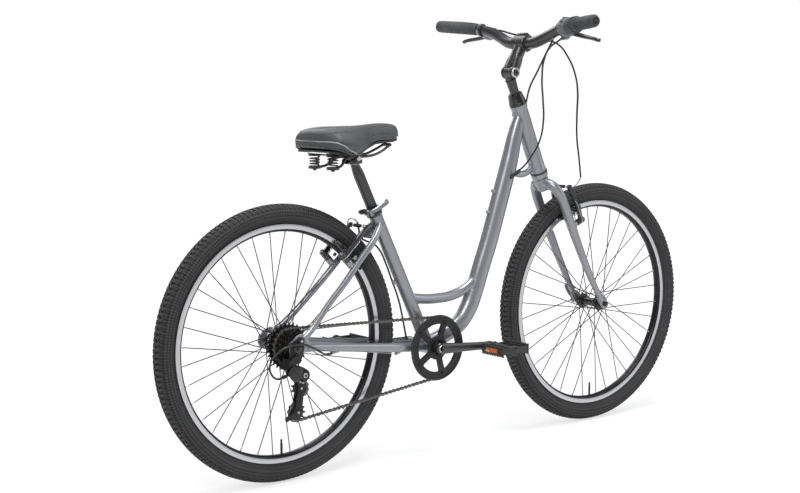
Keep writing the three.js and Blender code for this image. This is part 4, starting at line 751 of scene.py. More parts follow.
class BICYCLE_OT_tyres(Operator):
    """Models both tyres: a rounded carcass, rows of herringbone blocks and sidewall ribs"""

    bl_idname = "bicycle.tyres"
    bl_label = "Tyres"

    def execute(self, context):
        sizes = context.scene.bicycle_sizes
        depth = sizes.tread_depth / MM
        for end, axle in ENDS:
            outline = [*CARCASS, *[(radius, -across) for radius, across in CARCASS[-2::-1]]]
            inner = [(296.0, -4.0), (300.5, 0.0), (296.0, 4.0)]
            carcass = spun([*outline, *inner], axle, steps=160, angle=60)
            pitch = math.tau * TREAD_RADIUS / sizes.tread_pitches
            blocks = []
            for side in (-1, 1):
                shift = 0.5 if side < 0 else 0.0
                for near, far, start, slant, width in TREAD_ROWS:
                    first = (start + shift) * pitch
                    last = (slant + shift) * pitch
                    corners = [
                        (first, side * near), (last, side * far),
                        (last + width * pitch, side * far), (first + width * pitch, side * near),
                    ]
                    blocks.append(tread_block(corners, depth))
            tread = joined(blocks)
            ringed(tread, sizes.tread_pitches, (0, 0, 0))
            settled(tread, moved(axle))
            outward(tread, 0.001)
            ribs = []
            for side in (-1, 1):
                for radius, across in ((303.5, 15.8), (306.2, 18.4), (318.0, 25.7)):
                    ring = [
                        (radius - 0.6, side * (across - 0.6)), (radius, side * (across + 0.5)),
                        (radius + 0.6, side * (across - 0.6)),
                    ]
                    ribs.append(spun(ring, axle, steps=120, angle=60))
            finished(
                [carcass, tread, *ribs], end + "_tyre_rubber", end + "_wheel", end + "_tyre",
                stands_for=(end + "_tyre",),
            )
        return {"FINISHED"}


# Frame and fork

DOWN_TUBE_ROUTE = (
    (258, 0, 893), (240, 0, 850), (216, 0, 765), (181, 0, 662), (144, 0, 555), (112, 0, 475),
    (92, 0, 422), (70, 0, 376), (38, 0, 338), (-12, 0, 312), (-81, 0, 290),
)
BRACE_ROUTE = (
    (-137, 0, 422.8), (-92, 0, 415), (-40, 0, 412), (10, 0, 415), (58, 0, 430), (92, 0, 452),
)
STRUT_ROUTE = ((222, 0, 740), (252, 0, 729), (280, 0, 733), (304, 0, 750))
CHAINSTAY_ROUTE = (
    (-84, 19, 291), (-128, 25, 294), (-166, 31, 298), (-196, 39, 302), (-222, 44, 306),
    (-300, 49, 316), (-400, 56, 329), (-470, 61.5, 338), (-508, 68.5, 343),
)
SEATSTAY_ROUTE = (
    (-519, 71, 366), (-500, 67, 376), (-472, 59, 398), (-425, 51, 443), (-374, 47, 490),
    (-328, 42.5, 537), (-299, 39, 564), (-273, 33, 588), (-255, 25, 606), (-240, 14, 622),
    (-232, 0, 632),
)
FRAME_END = (
    (44, 8), (30, 22), (16, 33), (2, 28), (-14, 14), (-18, -4), (-12, -17), (4, -18), (20, -13),
    (44, -14),
)
HANGER = ((-16, -20), (-15, -32), (-4, -37), (5, -31), (7, -18))
LEG_ROUTE = (
    (0, 2, -26), (2, 20, -28), (6, 38, -40), (10, 48, -66), (13, 51, -120), (17, 51, -200),
    (26, 51.5, -310), (36, 53, -385), (44, 54, -418),
)


def weld_bead(name, ring, radius, body):
    """A rippled bead of weld along a closed ring of places, where enough of it was found."""
    if len(ring) <= 20:
        return None
    pick()
    bpy.ops.curve.primitive_bezier_circle_add()
    ripples = [1.0 + 0.16 * (-1) ** number for number in range(len(ring))]
    piece = swept(ring, ripples, radius, 2, 3, False)
    return finished(smoothed(outward(piece), 60), name, body, "frame_paint")


def tube_meets(target, start, direction, half_up, half_across, points=44, back=34.0):
    """The ring where a tube that runs from start along a direction meets another piece."""
    along = Vector(direction).normalized()
    across = Vector((0, 1, 0)) - along * along.y
    across.normalize()
    up = along.cross(across)
    ring = []
    for number in range(points):
        turn = math.tau * number / points
        offset = up * (half_up * math.cos(turn)) + across * (half_across * math.sin(turn))
        origin = (Vector(start) + offset - along * back) * MM
        hit, place, _, _ = target.ray_cast(origin, along, distance=2.4 * back * MM)
        if hit:
            ring.append(place / MM)
    return ring


class BICYCLE_OT_frame_tubes(Operator):
    """Models the frame: its tubes, frame ends, bridges, cable stops, bosses and welds"""

    bl_idname = "bicycle.frame_tubes"
    bl_label = "Frame"

    def execute(self, context):
        bead = context.scene.bicycle_sizes.bead_radius
        paint = "frame_paint"
        head = on_column(
            [(17.5, 12.6), (22.9, 12.6), (22.9, 16), (22, 19), (22, 196), (22.6, 200), (24, 206),
             (24, 210.6), (23.4, 211), (17.5, 211)],
            72,
        )
        finished(head, "head_tube_painted", "frame", paint, stands_for=("head_tube",))
        cup = on_column(
            [(14.9, -11), (20.4, -11), (21, -10.4), (23.8, -4), (24, -2), (23.6, 4), (22.4, 12.4),
             (14.9, 12.4)],
            72,
        )
        finished(cup, "lower_bearing_cup", "frame", paint)
        seal = on_column(
            [(20, 5.6), (24.2, 5.6), (24.6, 6), (24.6, 10.4), (24.2, 10.8), (20, 10.8)], 72,
        )
        finished(seal, "lower_bearing_seal", "frame", "anodised")
        finished(tube(STRUT_ROUTE, 9, around=12), "head_strut", "frame", paint)

        half_depths = [(0, 19), (0.2, 26), (0.75, 26), (1, 21)]
        down = tube(DOWN_TUBE_ROUTE, half_depths, flatten=0.825, around=16, along=10)
        finished(down, "down_tube_painted", "frame", paint, stands_for=("down_tube",))
        brace = tube(BRACE_ROUTE, 13.5, around=14, along=8)
        inside = rod(up_seat_tube(20), up_seat_tube(320), 15.4, 48, 0)
        cut_out(brace, [inside])
        finished(brace, "brace_tube_painted", "frame", paint, stands_for=("brace_tube",))
        seat = rod(up_seat_tube(0), up_seat_tube(412.6), 17.4, 48, 0)
        finished(seat, "seat_tube_painted", "frame", paint, stands_for=("seat_tube",))
        shell = spun(
            [(17.6, -34), (20.4, -34), (21, -33.4), (21, 33.4), (20.4, 34), (17.6, 34)],
            BRACKET_AXLE, steps=72,
        )
        finished(
            shell, "bracket_shell_painted", "frame", paint, stands_for=("bottom_bracket_shell",),
        )
        self.make_rear_triangle(paint)
        self.make_small_parts(paint)
        context.view_layer.update()
        welds = (
            ("weld_down_head", head, (236, 0, 851), (0.37, 0, 0.93), 19.5, 16.5),
            ("weld_strut_head", head, (290, 0, 739), (0.78, 0, 0.55), 9, 9),
            ("weld_strut_down", down, (236, 0, 733), (-0.9, 0, 0.25), 9, 9),
            ("weld_brace_down", down, (62, 0, 432), (0.82, 0, 0.5), 13.5, 13.5),
            ("weld_brace_seat", seat, (-112, 0, 418), (-0.98, 0, 0.16), 13.5, 13.5),
            ("weld_seat_shell", shell, up_seat_tube(44), (0.4337, 0, -0.9011), 17.4, 17.4),
            ("weld_down_shell", shell, (-36, 0, 304.5), (-0.95, 0, -0.3), 21.6, 17.8),
        )
        for name, target, start, direction, half_up, half_across in welds:
            ring = tube_meets(target, start, direction, half_up, half_across)
            weld_bead(name, ring, bead, "frame")
        for side, end in RIGHT_LEFT:
            start = (-124, side * 24.4, 294)
            ring = tube_meets(shell, start, (0.985, -side * 0.17, -0.05), 12.4, 8.6)
            weld_bead("weld_stay_shell_" + end, ring, bead * 0.85, "frame")
        return {"FINISHED"}

    def make_rear_triangle(self, paint):
        """The stays with their frame ends, bridges, brake posts and eyelets."""
        stays, upper, ends = [], [], []
        for side in (-1, 1):
            lower = on_side(CHAINSTAY_ROUTE, side)
            stays.append(tube(lower, [(0, 12.5), (0.3, 12.3), (1, 9.5)], flatten=0.78, around=10))
            rising = on_side(SEATSTAY_ROUTE, side)
            upper.append(tube(rising, [(0, 7.5), (0.2, 8), (1, 9.5)], flatten=0.9, around=10))
            outline = list(FRAME_END)
            if side < 0:
                outline = [*FRAME_END[:6], *HANGER, *FRAME_END[7:]]
            place = moved(beside(REAR_AXLE, side * 70.5))
            end = plate(outline, 6, place, 0)
            hole = rod((-528, side * 60, 363), (-528, side * 80, 363), 2.6, 16, 0)
            cut_out(end, [hole])
            rounded(end, 0.9, 3, 40)
            ends.append(end)
            for place, turn in (((-508, side * 69.6, 343), 5), ((-517, side * 70.6, 366), 52)):
                ends.append(block((26, 8.4, 13), place, (0, turn, 0), 3.2))
        bridge = block((7.5, 68, 14), (-180, 0, 300), (0, 0, 0), 3)
        finished(
            [*stays, *ends, bridge], "chainstays_painted", "frame", paint,
            stands_for=("chainstays",),
        )
        shelf = block((30, 46, 4), (-253.7, 0, 599.3), (0, -48, 0), 1.2)
        hole = rod((-262, 0, 607), (-245, 0, 591.6), 3.2, 20, 0)
        cut_out(shelf, [hole])
        smoothed(shelf, 30)
        posts = []
        for side in (-1, 1):
            inner = (-351.5, side * 42, 527.5)
            posts.append(rod(inner, (-364, side * 42, 541.3), 9, 28, 1.2))
            posts.append(rod((-362, side * 42, 539), (-384, side * 42, 563.4), 3.9, 20, 0.4))
            posts.append(rod((-344, side * 43.5, 545), (-338, side * 43.5, 552), 4.2, 20, 0.8))
        finished(
            [*upper, shelf, *posts], "seatstays_painted", "frame", paint, stands_for=("seatstays",),
        )

    def make_small_parts(self, paint):
        """Bosses with their screws, the cable port, guides and stops."""
        for name, x, z in (("upper", 172, 682), ("lower", 154, 626)):
            boss = rod((x, 0, z), (x - 17, 0, z + 6), 5, 32, 0.6)
            finished(boss, name + "_bottle_boss", "frame", paint)
            screw = socket_screw((x - 16.6, 0, z + 5.9), (-0.943, 0, 0.333), 4.2, 2.6)
            finished(screw, name + "_boss_screw", "frame", "steel")
        port = tube(
            ((219, -41, 743), (210, -29, 732), (199, -12, 719)), [(0, 4.5), (0.5, 5.2), (1, 5.4)],
        )
        finished(port, "cable_port", "frame", "plastic")
        x, _, z = up_seat_tube(208)
        guide = block((9, 7, 12), (x - 19, 0, z - 9), (0, -26, 0), 1.6)
        finished(guide, "seat_tube_cable_guide", "frame", paint)
        stops = [
            rod((-428, -58, 318.5), (-404, -56, 321.3), 4.2, 24, 0.8),
            rod((-214, -43, 288.5), (-196, -38, 291), 4.0, 24, 0.8),
            block((14, 4, 8), (-414, -57.4, 325), (0, 8, 0), 1.2),
            block((10, 4, 8), (-205, -41, 294), (0, 0, 0), 1.2),
        ]
        finished(stops, "chainstay_cable_stops", "frame", paint)


class BICYCLE_OT_fork(Operator):
    """Models the fork: curved tapering legs, a round crown, fork ends and brake posts"""

    bl_idname = "bicycle.fork"
    bl_label = "Fork"

    def execute(self, context):
        parts = []
        for side in (-1, 1):
            route = on_side(LEG_ROUTE, side)
            leg = tube(route, [(0, 14.2), (0.2, 14.2), (0.55, 12), (1, 7.6)], around=14, along=8)
            parts.append(settled(leg, head_matrix()))
            end = plate(
                [(-12, 34), (6, 30), (13, 12), (13, -4), (6, -13), (2.6, -14), (2.6, 0), (-2.6, 0),
                 (-2.6, -14), (-7, -12), (-14, 2), (-19, 30)],
                6, head_matrix() @ moved((47.06, side * 53, -431.7)), 0.8,
            )
            parts.append(end)
            post = [(17.06, side * 42, -169.7), (40, side * 42, -169.7), (76, side * 42, -169.7)]
            placed = [at_head(place) for place in post]
            parts.append(rod(placed[0], placed[1], 8.6, 28, 1.2))
            parts.append(rod(placed[1], placed[2], 3.9, 20, 0.4))
        crown = on_column(
            [(0.1, -47), (14, -47), (16.6, -44), (17.4, -36), (18.6, -22), (21, -13.5), (21, -11.4),
             (14.2, -11.4), (14.2, 200), (13.1, 200), (13.1, -40), (0.1, -40)],
            64, angle=35,
        )
        parts.append(crown)
        finished(parts, "fork_painted", "fork", "frame_paint", stands_for=("fork",))
        bead = context.scene.bicycle_sizes.bead_radius
        for side, end in RIGHT_LEFT:
            leg_ring = []
            for turn in (math.tau * number / 40 for number in range(40)):
                ahead, up = 14.6 * math.cos(turn), 14.6 * math.sin(turn)
                leg_ring.append(at_head((3 + ahead, side * (21.5 - 2.2 * math.cos(turn)), up - 30)))
            weld_bead("weld_crown_" + end, leg_ring, bead * 0.8, "fork")
        return {"FINISHED"}


# Steering column


class BICYCLE_OT_headset_and_stem(Operator):
    """Models the headset cover, the quill and the hinged stem with its screws"""

    bl_idname = "bicycle.headset_and_stem"
    bl_label = "Headset and stem"

    def execute(self, context):
        cover = on_column(
            [(14.9, 211.4), (23.6, 211.4), (24, 211.9), (24, 217), (23.5, 218), (23.1, 218.4),
             (23.1, 219.4), (23.4, 220), (19.2, 241.5), (18.2, 243.4), (17, 244), (13.4, 244),
             (13.4, 239.6), (14.9, 239.6)],
            72,
        )
        finished(cover, "headset_cover", "fork", "anodised", stands_for=("headset_upper_cup",))
        quill = on_column(
            [(0.1, 120), (12.6, 120), (12.6, 250), (12.9, 258), (14, 276), (15.6, 284), (0.1, 284)],
            56,
        )
        hinge = Vector(STEM_HINGE)
        knuckle = spun(
            [(6.2, -11), (15.6, -11), (17, -9.6), (17, 9.6), (15.6, 11), (6.2, 11)], STEM_HINGE,
            steps=56, matrix=head_matrix(),
        )
        neck = block((24, 21.4, 27), (0, 0, 287), (0, 0, 0), 5, head_matrix())
        finished(
            [quill, knuckle, neck], "stem_quill_painted", "fork", "black_paint",
            stands_for=("stem_quill",),
        )
        clamp = Vector(BAR_CLAMP)
        reach = clamp - hinge
        cheeks = []
        for side in (-1, 1):
            cheek = spun(
                [(5.4, 11.5), (17, 11.5), (17.3, 12.5), (17.3, 17), (16, 19), (5.4, 19)],
                STEM_HINGE, (0, side, 0), 56, head_matrix(),
            )
            cheeks.append(cheek)
            arm = []
            for share, across in ((0.1, 15), (0.35, 12.4), (0.6, 7)):
                arm.append(beside(at_head(hinge + reach * share), side * across))
            cheeks.append(tube(arm, [(0, 14.6), (0.5, 15), (1, 14)], flatten=0.6, around=8))
        hood = block(
            (19, 23.6, 34), hinge + reach.normalized() * 14.5, (0, -38.2, 0), 2, head_matrix(),
        )
        space = rod(*[at_head(beside(STEM_HINGE, across)) for across in (-40, 40)], 17.7, 48, 0)
        cut_out(hood, [space])
        cheeks.append(smoothed(hood, 30))
        start = hinge + reach * 0.215
        beam = tube(
            [at_head(start), at_head(hinge + reach * 0.6), at_head(clamp - reach * 0.1)],
            [(0, 18.4), (0.3, 18.2), (0.6, 17.4), (1, 18.2)], around=14,
        )
        jaw = spun(
            [(16.3, -23), (20.8, -23), (22, -21.8), (22, -2.2), (21, -1.2), (21, 1.2), (22, 2.2),
             (22, 21.8), (20.8, 23), (16.3, 23)],
            BAR_CLAMP, steps=64, matrix=head_matrix())
        faceplate = block((9, 42, 34), (94, 0, 368), (0, -38, 0), 3.4, head_matrix())
        hollow = rod(*[at_head(beside(BAR_CLAMP, across)) for across in (-40, 40)], 16.3, 48, 0)
        cut_out(faceplate, [hollow])
        smoothed(faceplate, 30)
        finished(
            [*cheeks, beam, jaw, faceplate], "stem_arm_painted", "cockpit", "black_paint",
            stands_for=("stem_arm",),
        )
        ahead = Vector((0.786, 0, 0.618))
        turn = head_matrix().to_3x3()
        for side, end in RIGHT_LEFT:
            for rise, level in ((-1, "foot"), (1, "top")):
                local = Vector((95, side * 14.5, 368)) + Vector((-0.618, 0, 0.786)) * 12.5 * rise
                place = at_head(local + ahead * 2.4)
                screw = socket_screw(place, turn @ ahead, 3.4, 3.6)
                tip = rod(at_head(local - ahead * 40), at_head(local - ahead * 36), 2.6, 16, 0.4)
                finished([screw, tip], f"faceplate_screw_{end}_{level}", "cockpit", "steel")
        washer = spun(
            [(8.6, -22.6), (9, -24.8), (10, -25.4), (12.8, -25.4), (14, -24.4), (14, -19.4),
             (4.8, -19.4), (4.8, 19.4), (12, 19.4), (12, 22.6), (11.2, 23.4), (0.1, 23.4),
             (0.1, -21.4), (8.4, -21.4)],
            STEM_HINGE, steps=56, matrix=head_matrix(),
        )
        bolt = socket_screw(at_head(beside(STEM_HINGE, -21.2)), SIDEWAYS, 7.6, 3)
        finished(bolt, "stem_hinge_screw", "cockpit", "anodised")
        finished(washer, "stem_hinge_washer", "cockpit", "steel", stands_for=("stem_hinge_bolt",))
        return {"FINISHED"}


# Handlebar, on the steering axis' own frame

BAR_SIDE = (
    (75, 26, 357), (77, 52, 359), (88, 95, 371), (93, 132, 384), (92, 165, 392), (86, 205, 400),
    (74, 262, 410), (62, 313, 419),
)


def bar_place(across):
    """The bar's axis at a distance across the bicycle, in the row frame."""
    sides = (BAR_CLAMP, *BAR_SIDE)
    for first, second in zip(sides, sides[1:]):
        if abs(across) <= second[1] or second is sides[-1]:
            share = (abs(across) - first[1]) / (second[1] - first[1])
            bow = math.sin(math.pi * share)
            ahead = first[0] + (second[0] - first[0]) * share
            up = first[2] + (second[2] - first[2]) * share
            return at_head((ahead + 0.5 * bow * (88 < second[1] < 300), across, up))


def sleeve(stations, around=14):
    """A sleeve on the bar, from (place across, radius) stations."""
    spots = [bar_place(across) for across, _ in stations]
    reach = abs(stations[-1][0] - stations[0][0])
    stops = [(abs(across - stations[0][0]) / reach, radius) for across, radius in stations]
    return tube(spots, stops, around=around, along=5)


def ring_on_bar(across, radius, half):
    """A ring on the bar with rounded rims."""
    first, last = Vector(bar_place(across - half)), Vector(bar_place(across + half))
    along = (last - first).normalized()
    rim = radius - 1.2
    outline = [(10.8, -half), (rim, -half), (radius, -half + 1.2), (radius, half - 1.2),
               (rim, half), (10.8, half)]
    return spun(outline, (first + last) / 2, along, 48)


def ribs_on_bar(start, stop, radius, count, thickness, height):
    """Ridges along the bar's axis, spread around a sleeve."""
    first, last = Vector(bar_place(start)), Vector(bar_place(stop))
    along = (last - first).normalized()
    middle = (first + last) / 2
    ridge = block((thickness, height, (last - first).length), (0, 0, 0), (0, 0, 0), 0.5)
    turn = along.to_track_quat("Z", "Y").to_matrix().to_4x4()
    placed = moved(middle) @ turn
    settled(ridge, placed @ moved((0, radius, 0)))
    return ringed(ridge, count, middle, along)


class BICYCLE_OT_handlebar(Operator):
    """Models the bar, both grips, the twist grip with its ridges, and the shifter"""

    bl_idname = "bicycle.handlebar"
    bl_label = "Handlebar and grips"

    def execute(self, context):
        route = [BAR_CLAMP, *BAR_SIDE]
        left = [at_head(place) for place in route[1:]]
        right = [at_head(mirrored(place)) for place in route[1:]][::-1]
        radii = [(0, 11.1), (0.1, 11.1), (0.36, 15.2), (0.44, 15.9), (0.56, 15.9), (0.64, 15.2),
                 (0.9, 11.1), (1, 11.1)]
        bar = tube([*right, at_head(route[0]), *left], radii, around=14, along=10)
        finished(bar, "handlebar_painted", "cockpit", "black_paint", stands_for=("handlebar",))
        for side, inner, node in ((1, 181, "left_grip"), (-1, 230, "right_grip")):
            stations = [(side * inner, 15.3), (side * (inner + 3), 16.2), (side * 262, 17),
                        (side * 298, 16.6), (side * 308, 15.9), (side * 312.6, 13.4),
                        (side * 314.4, 9)]
            grip = sleeve(stations, 20)
            ridges = []
            for number in range(int((302 - inner) / 3.4)):
                across = side * (inner + 6 + number * 3.4)
                share = (abs(across) - inner) / (306 - inner)
                radius = 16.1 + 0.85 * math.sin(math.pi * min(1.0, share * 1.1)) ** 0.6
                first, last = Vector(bar_place(across)), Vector(bar_place(across + side))
                along = (last - first).normalized()
                ring = [(radius - 1, -0.9), (radius + 0.25, 0), (radius - 1, 0.9)]
                ridges.append(spun(ring, first, along, 40, angle=60))
            end = Vector(bar_place(side * 313.6))
            out = (end - Vector(bar_place(side * 307))).normalized()
            cap = spun(
                [(2.4, -2), (8.6, -2), (9.4, 0.2), (8.6, 1.2), (3.4, 1.4), (2.4, 0.4)], end, out,
                40,
            )
            finished([grip, *ridges], node + "_moulded", "cockpit", "grip", stands_for=(node,))
            finished(cap, node + "_end_cap", "cockpit", "pad_rubber")
        drum = sleeve(
            [(-184.4, 20.6), (-183, 22.4), (-179, 25), (-166, 25), (-161.4, 21.4), (-160, 18.6)],
            20,
        )
        spot = Vector(SHIFTER_SPOT)
        steps = ((0, -5, -18), (0.4, 10, -27), (1, 34, -33))
        spout = tube(
            [at_head(spot + Vector(step)) for step in steps], [(0, 7), (0.5, 5.4), (1, 3.8)],
        )
        finished(
            [drum, spout], "shifter_housing", "cockpit", "grey_plastic",
            stands_for=("shifter_body",),
        )
        window = block((20, 12, 2.4), spot + Vector((-7, -1, 23.4)), (4, -18, 0), 1, head_matrix())
        finished(window, "shifter_window", "cockpit", "plastic")
        twist = sleeve(
            [(-229, 16.6), (-227, 17.6), (-221, 20.2), (-193, 22), (-188.6, 21.4), (-187.2, 19.8)],
            20,
        )
        ridges = ribs_on_bar(-222, -192, 20.7, 26, 2.4, 2.4)
        finished(
            [twist, ridges], "twist_grip_ribbed", "twist_grip", "grip",
            stands_for=("shift_twist_grip",),
        )
        return {"FINISHED"}


BLADE_ROUTE = (
    (0, 0, 0), (5, 16, -7), (4, 38, -12), (-4, 70, -14), (-12, 96, -15), (-13, 105, -17),
    (-8, 109, -20),
)


class BICYCLE_OT_brake_levers(Operator):
    """Models the clamps, lever bodies, cable barrels and hooked brake levers"""

    bl_idname = "bicycle.brake_levers"
    bl_label = "Brake levers"

    def execute(self, context):
        turn = head_matrix().to_3x3()
        axis = turn @ Vector((0.86, 0, 0.51)).normalized()
        for side, across, end in ((1, 171, "left"), (-1, 150, "right")):
            spot = Vector(bar_place(side * across))
            pivot = spot + turn @ Vector((27, 0, -22))
            clamp = ring_on_bar(side * across, 16.8, 6.4)
            inward = -side
            route = ((4, -3, -12), (15, 5, -25), (19, 17, -26), (20, 31, -13))
            body = tube(
                [spot + turn @ Vector(step) for step in on_side(route, inward)],
                [(0, 9), (0.35, 10.5), (0.7, 9.5), (1, 6)], around=10,
            )
            finished(
                [clamp, body], end + "_lever_body", "cockpit", "cast",
                stands_for=(end + "_lever_bracket",),
            )
            outer, inner = [Vector(bar_place(side * (across + step))) for step in (3, -3)]
            band = spun(
                [(11, -7.6), (17.5, -7.6), (17.9, -7), (17.9, -3), (17.5, -2.4), (11, -2.4)], spot,
                outer - inner, 48)
            finished(band, end + "_clamp_band", "cockpit", "black_paint")
            start = spot + turn @ Vector((20, inward * 29, -10))
            stop = spot + turn @ Vector((18, inward * 37, -8))
            barrel = [
                rod(start, stop, 5, 24, 0.8),
                rod(stop, stop + (stop - start).normalized() * 7, 3.6, 20, 0.6),
                rod(start + (stop - start) * 0.3, stop, 6.4, 12, 0.5),
            ]
            finished(barrel, end + "_cable_adjuster", "cockpit", "plastic")
            screw = socket_screw(
                spot + turn @ Vector((3, 0, -17.5)), turn @ Vector((0.3, 0, -1)), 3.4, 3,
            )
            finished(screw, end + "_clamp_screw", "cockpit", "steel")
            blade = [pivot + turn @ Vector(step) for step in on_side(BLADE_ROUTE, side)]
            lever = tube(
                blade, [(0, 6.8), (0.2, 6.6), (0.6, 5.4), (0.92, 4.8), (1, 4.8)], around=10,
                along=6,
            )
            hub = rod(pivot - axis * 6.3, pivot + axis * 6.3, 7.8, 32, 1.2)
            finished(
                [lever, hub], end + "_lever_blade", end + "_lever", "black_paint",
                stands_for=(end + "_brake_lever",),
            )
            pin = socket_screw(pivot + axis * 6.2, axis, 3.6, 2)
            finished(pin, end + "_lever_pin", "cockpit", "steel")
        return {"FINISHED"}


# Wheels

HUBS = {
    "front": {"flanges": (33, -33), "flange": 21, "barrel": 12, "end": 11, "reach": (46, -46)},
    "rear": {"flanges": (34, -21), "flange": 24, "barrel": 15, "end": 13, "reach": (60, -25.6)},
}


class BICYCLE_OT_wheels(Operator):
    """Models the rims with machined brake tracks, the hubs, the laced spokes and the valves"""

    bl_idname = "bicycle.wheels"
    bl_label = "Rims, spokes and hubs"

    def execute(self, context):
        for end, axle in ENDS:
            self.make_rim(end, axle)
            self.make_spokes(end, axle)
            self.make_hub(end, axle)
            stem = spun(
                [(0.1, 240), (1.4, 240), (2.6, 241.5), (2.6, 251), (3, 252), (3, 277), (0.1, 277)],
                (axle[0], 0, axle[2]), (0, 0, -1), 20,
            )
            finished(stem, end + "_valve_stem", end + "_wheel", "pad_rubber")
        for end, body, node in (("front", "fork", "front_axle"), ("rear", "frame", "rear_axle")):
            refined(node, body, "anodised", width=0.6)
        for side, end in RIGHT_LEFT:
            dome = spun(
                [(4.6, 76), (12, 76), (12.4, 77), (11.6, 79.6), (8.6, 81), (4.6, 81.4)], REAR_AXLE,
                (0, side, 0), 48, angle=40)
            finished(dome, end + "_axle_dome", "frame", "anodised")
            tip = rod(beside(REAR_AXLE, side * 76), beside(REAR_AXLE, side * 83), 4.4, 32, 1)
            finished(tip, end + "_axle_end", "frame", "dark_steel")
        return {"FINISHED"}

    def make_rim(self, end, axle):
        half = [(277.8, 0.0), (278, 4.6), (278.9, 7.6), (281.2, 10.4), (283.6, 12.0), (284.8, 12.3),
                (285.4, 12.5), (296.6, 12.5), (297.6, 12.3), (298, 11.8), (297.8, 11.2),
                (293, 10.5), (292.2, 9.4), (291.6, 4.0)]
        outline = [*half, *[(radius, -across) for radius, across in half[:0:-1]]]
        rim = spun(outline, axle, steps=160, angle=28)
        track_low, track_high = 285.0 * MM, 297.0 * MM
        centre = Vector(axle) * MM
        finished(
            rim, end + "_rim_turned", end + "_wheel", end + "_rim", end + "_track",
            stands_for=(end + "_rim",),
        )
        for face in rim.data.polygons:
            middle = face.center - centre
            radius = math.hypot(middle.x, middle.z)
            if abs(middle.y) > 12.4 * MM and track_low < radius < track_high:
                face.material_index = 1

    def make_spokes(self, end, axle):
        hub = HUBS[end]
        wires, nipples = [], []
        for hole in range(4):
            left = hole % 2 == 0
            lean = 1 if hole // 2 == 0 else -1
            rim_turn = math.radians(5 + 10 * hole)
            hub_turn = rim_turn + lean * math.radians(60)
            flange = hub["flanges"][0 if left else 1]
            radius = hub["flange"] - 2.4
            outer = lean * 3.6 * (1 if left else -1)
            x, z = math.cos(hub_turn) * radius, math.sin(hub_turn) * radius
            foot, head = Vector((x, flange + outer, z)), Vector((x, flange - outer * 1.15, z))
            x, z = math.cos(rim_turn) * 277.4, math.sin(rim_turn) * 277.4
            rim_at = Vector((x, 2.5 if left else -2.5, z))
            ahead = (rim_at - foot).normalized()
            elbow = foot + ahead * 2.5
            bent = [head, foot - Vector((0, outer * 0.1, 0)), elbow, rim_at]
            wires.append(tube(bent, 1.3, around=2, along=2))
            wires.append(rod(head, head - Vector((0, math.copysign(0.9, outer), 0)), 1.9, 10, 0.3))
            nipples.append(rod(rim_at - ahead * 11, rim_at + ahead * 1.5, 1.9, 10, 0.4))
        for name, pieces, finish in (("spokes", wires, "spoke"), ("nipples", nipples, "steel")):
            piece = joined(pieces)
            ringed(piece, 9, (0, 0, 0))
            settled(piece, moved(axle))
            finished(piece, f"{end}_{name}", end + "_wheel", finish)

    def make_hub(self, end, axle):
        hub = HUBS[end]
        left, right = hub["reach"]
        outline = [(6.1, left), (hub["end"] - 0.8, left), (hub["end"], left - 0.8)]
        for flange, way in zip(hub["flanges"], (1, -1)):
            near, far = flange + 2.5, flange - 2.5
            before, after = (hub["end"], hub["barrel"])[::way]
            outline += [
                (before, near + 2.2), (before + 2.2, near + 0.3), (hub["flange"] - 0.8, near),
                (hub["flange"], near - 0.8), (hub["flange"], far + 0.8), (hub["flange"] - 0.8, far),
                (after + 2.2, far - 0.3), (after, far - 2.2),
            ]
        outline += [(hub["end"], right + 0.8), (hub["end"] - 0.8, right), (6.1, right)]
        shell = spun(outline, axle, steps=72)
        finished(
            shell, end + "_hub_shell", end + "_wheel", "anodised",
            stands_for=(end + "_spoked_hub",),
        )


# Saddle and seatpost

SADDLE_NOSE = -172
SADDLE_REAR = -440
SADDLE_CROWN = 873
SADDLE_HALF = 104


def eased(value, low, high):
    share = max(0.0, min(1.0, (value - low) / (high - low)))
    return share * share * (3 - 2 * share)


def saddle_half(share):
    """Half the saddle's width at a share of the way from its rear to its nose."""
    if share < 0.2:
        edge = 1 - ((0.2 - share) / 0.207) ** 4.5
        return SADDLE_HALF * math.sqrt(max(0.0, edge) * 0.999 + 0.001) * 0.97
    waist = SADDLE_HALF + (23 - SADDLE_HALF) * eased(share, 0.16, 0.72)
    return waist * math.sqrt(max(0.02, 1 - eased(share, 0.86, 1.0) ** 2))


def saddle_top(share):
    rear = 1 - math.sqrt(1 - (1 - min(1.0, share / 0.1)) ** 2)
    nose = 1 - math.sqrt(1 - max(0.0, min(1.0, (share - 0.82) / 0.18)) ** 2)
    rise = 5 * eased(share, 0.5, 0.8) - 4 * (1 - eased(share, 0, 0.22))
    return SADDLE_CROWN + rise - 14 * rear - 17 * nose


def saddle_hem(share):
    """The height of the cushion's lower edge."""
    wing = 821 - 14 * eased(share, 0.03, 0.22) + 31 * eased(share, 0.3, 0.75)
    rear = 1 - math.sqrt(1 - (1 - min(1.0, share / 0.06)) ** 2)
    return wing + 9 * eased(share, 0.84, 1) ** 1.5 + 5 * rear


def saddle_thick(share):
    return saddle_top(share) - saddle_hem(share)


SADDLE_ROW = (
    (0, 0), (0.17, -0.005), (0.34, -0.02), (0.5, -0.05), (0.64, -0.1), (0.76, -0.17), (0.87, -0.28),
    (0.95, -0.41), (0.99, -0.55), (0.992, -0.62), (0.962, -0.66), (0.99, -0.7), (1.0, -0.78),
    (0.985, -0.9), (0.94, -0.99), (0.8, -1.0), (0.4, -1.0), (0, -1.0),
)


def saddle_point(across, drop, share):
    """A place on the cushion, in millimetres, from its share across, down and along."""
    groove = 5 * math.exp(-((across / 0.16) ** 2)) * eased(share, 0.02, 0.16)
    groove *= 1 - eased(share, 0.45, 0.7)
    x = SADDLE_REAR + share * (SADDLE_NOSE - SADDLE_REAR)
    z = saddle_top(share) + drop * saddle_thick(share) - (groove if drop > -0.2 else 0)
    return (x, across * saddle_half(share), z)


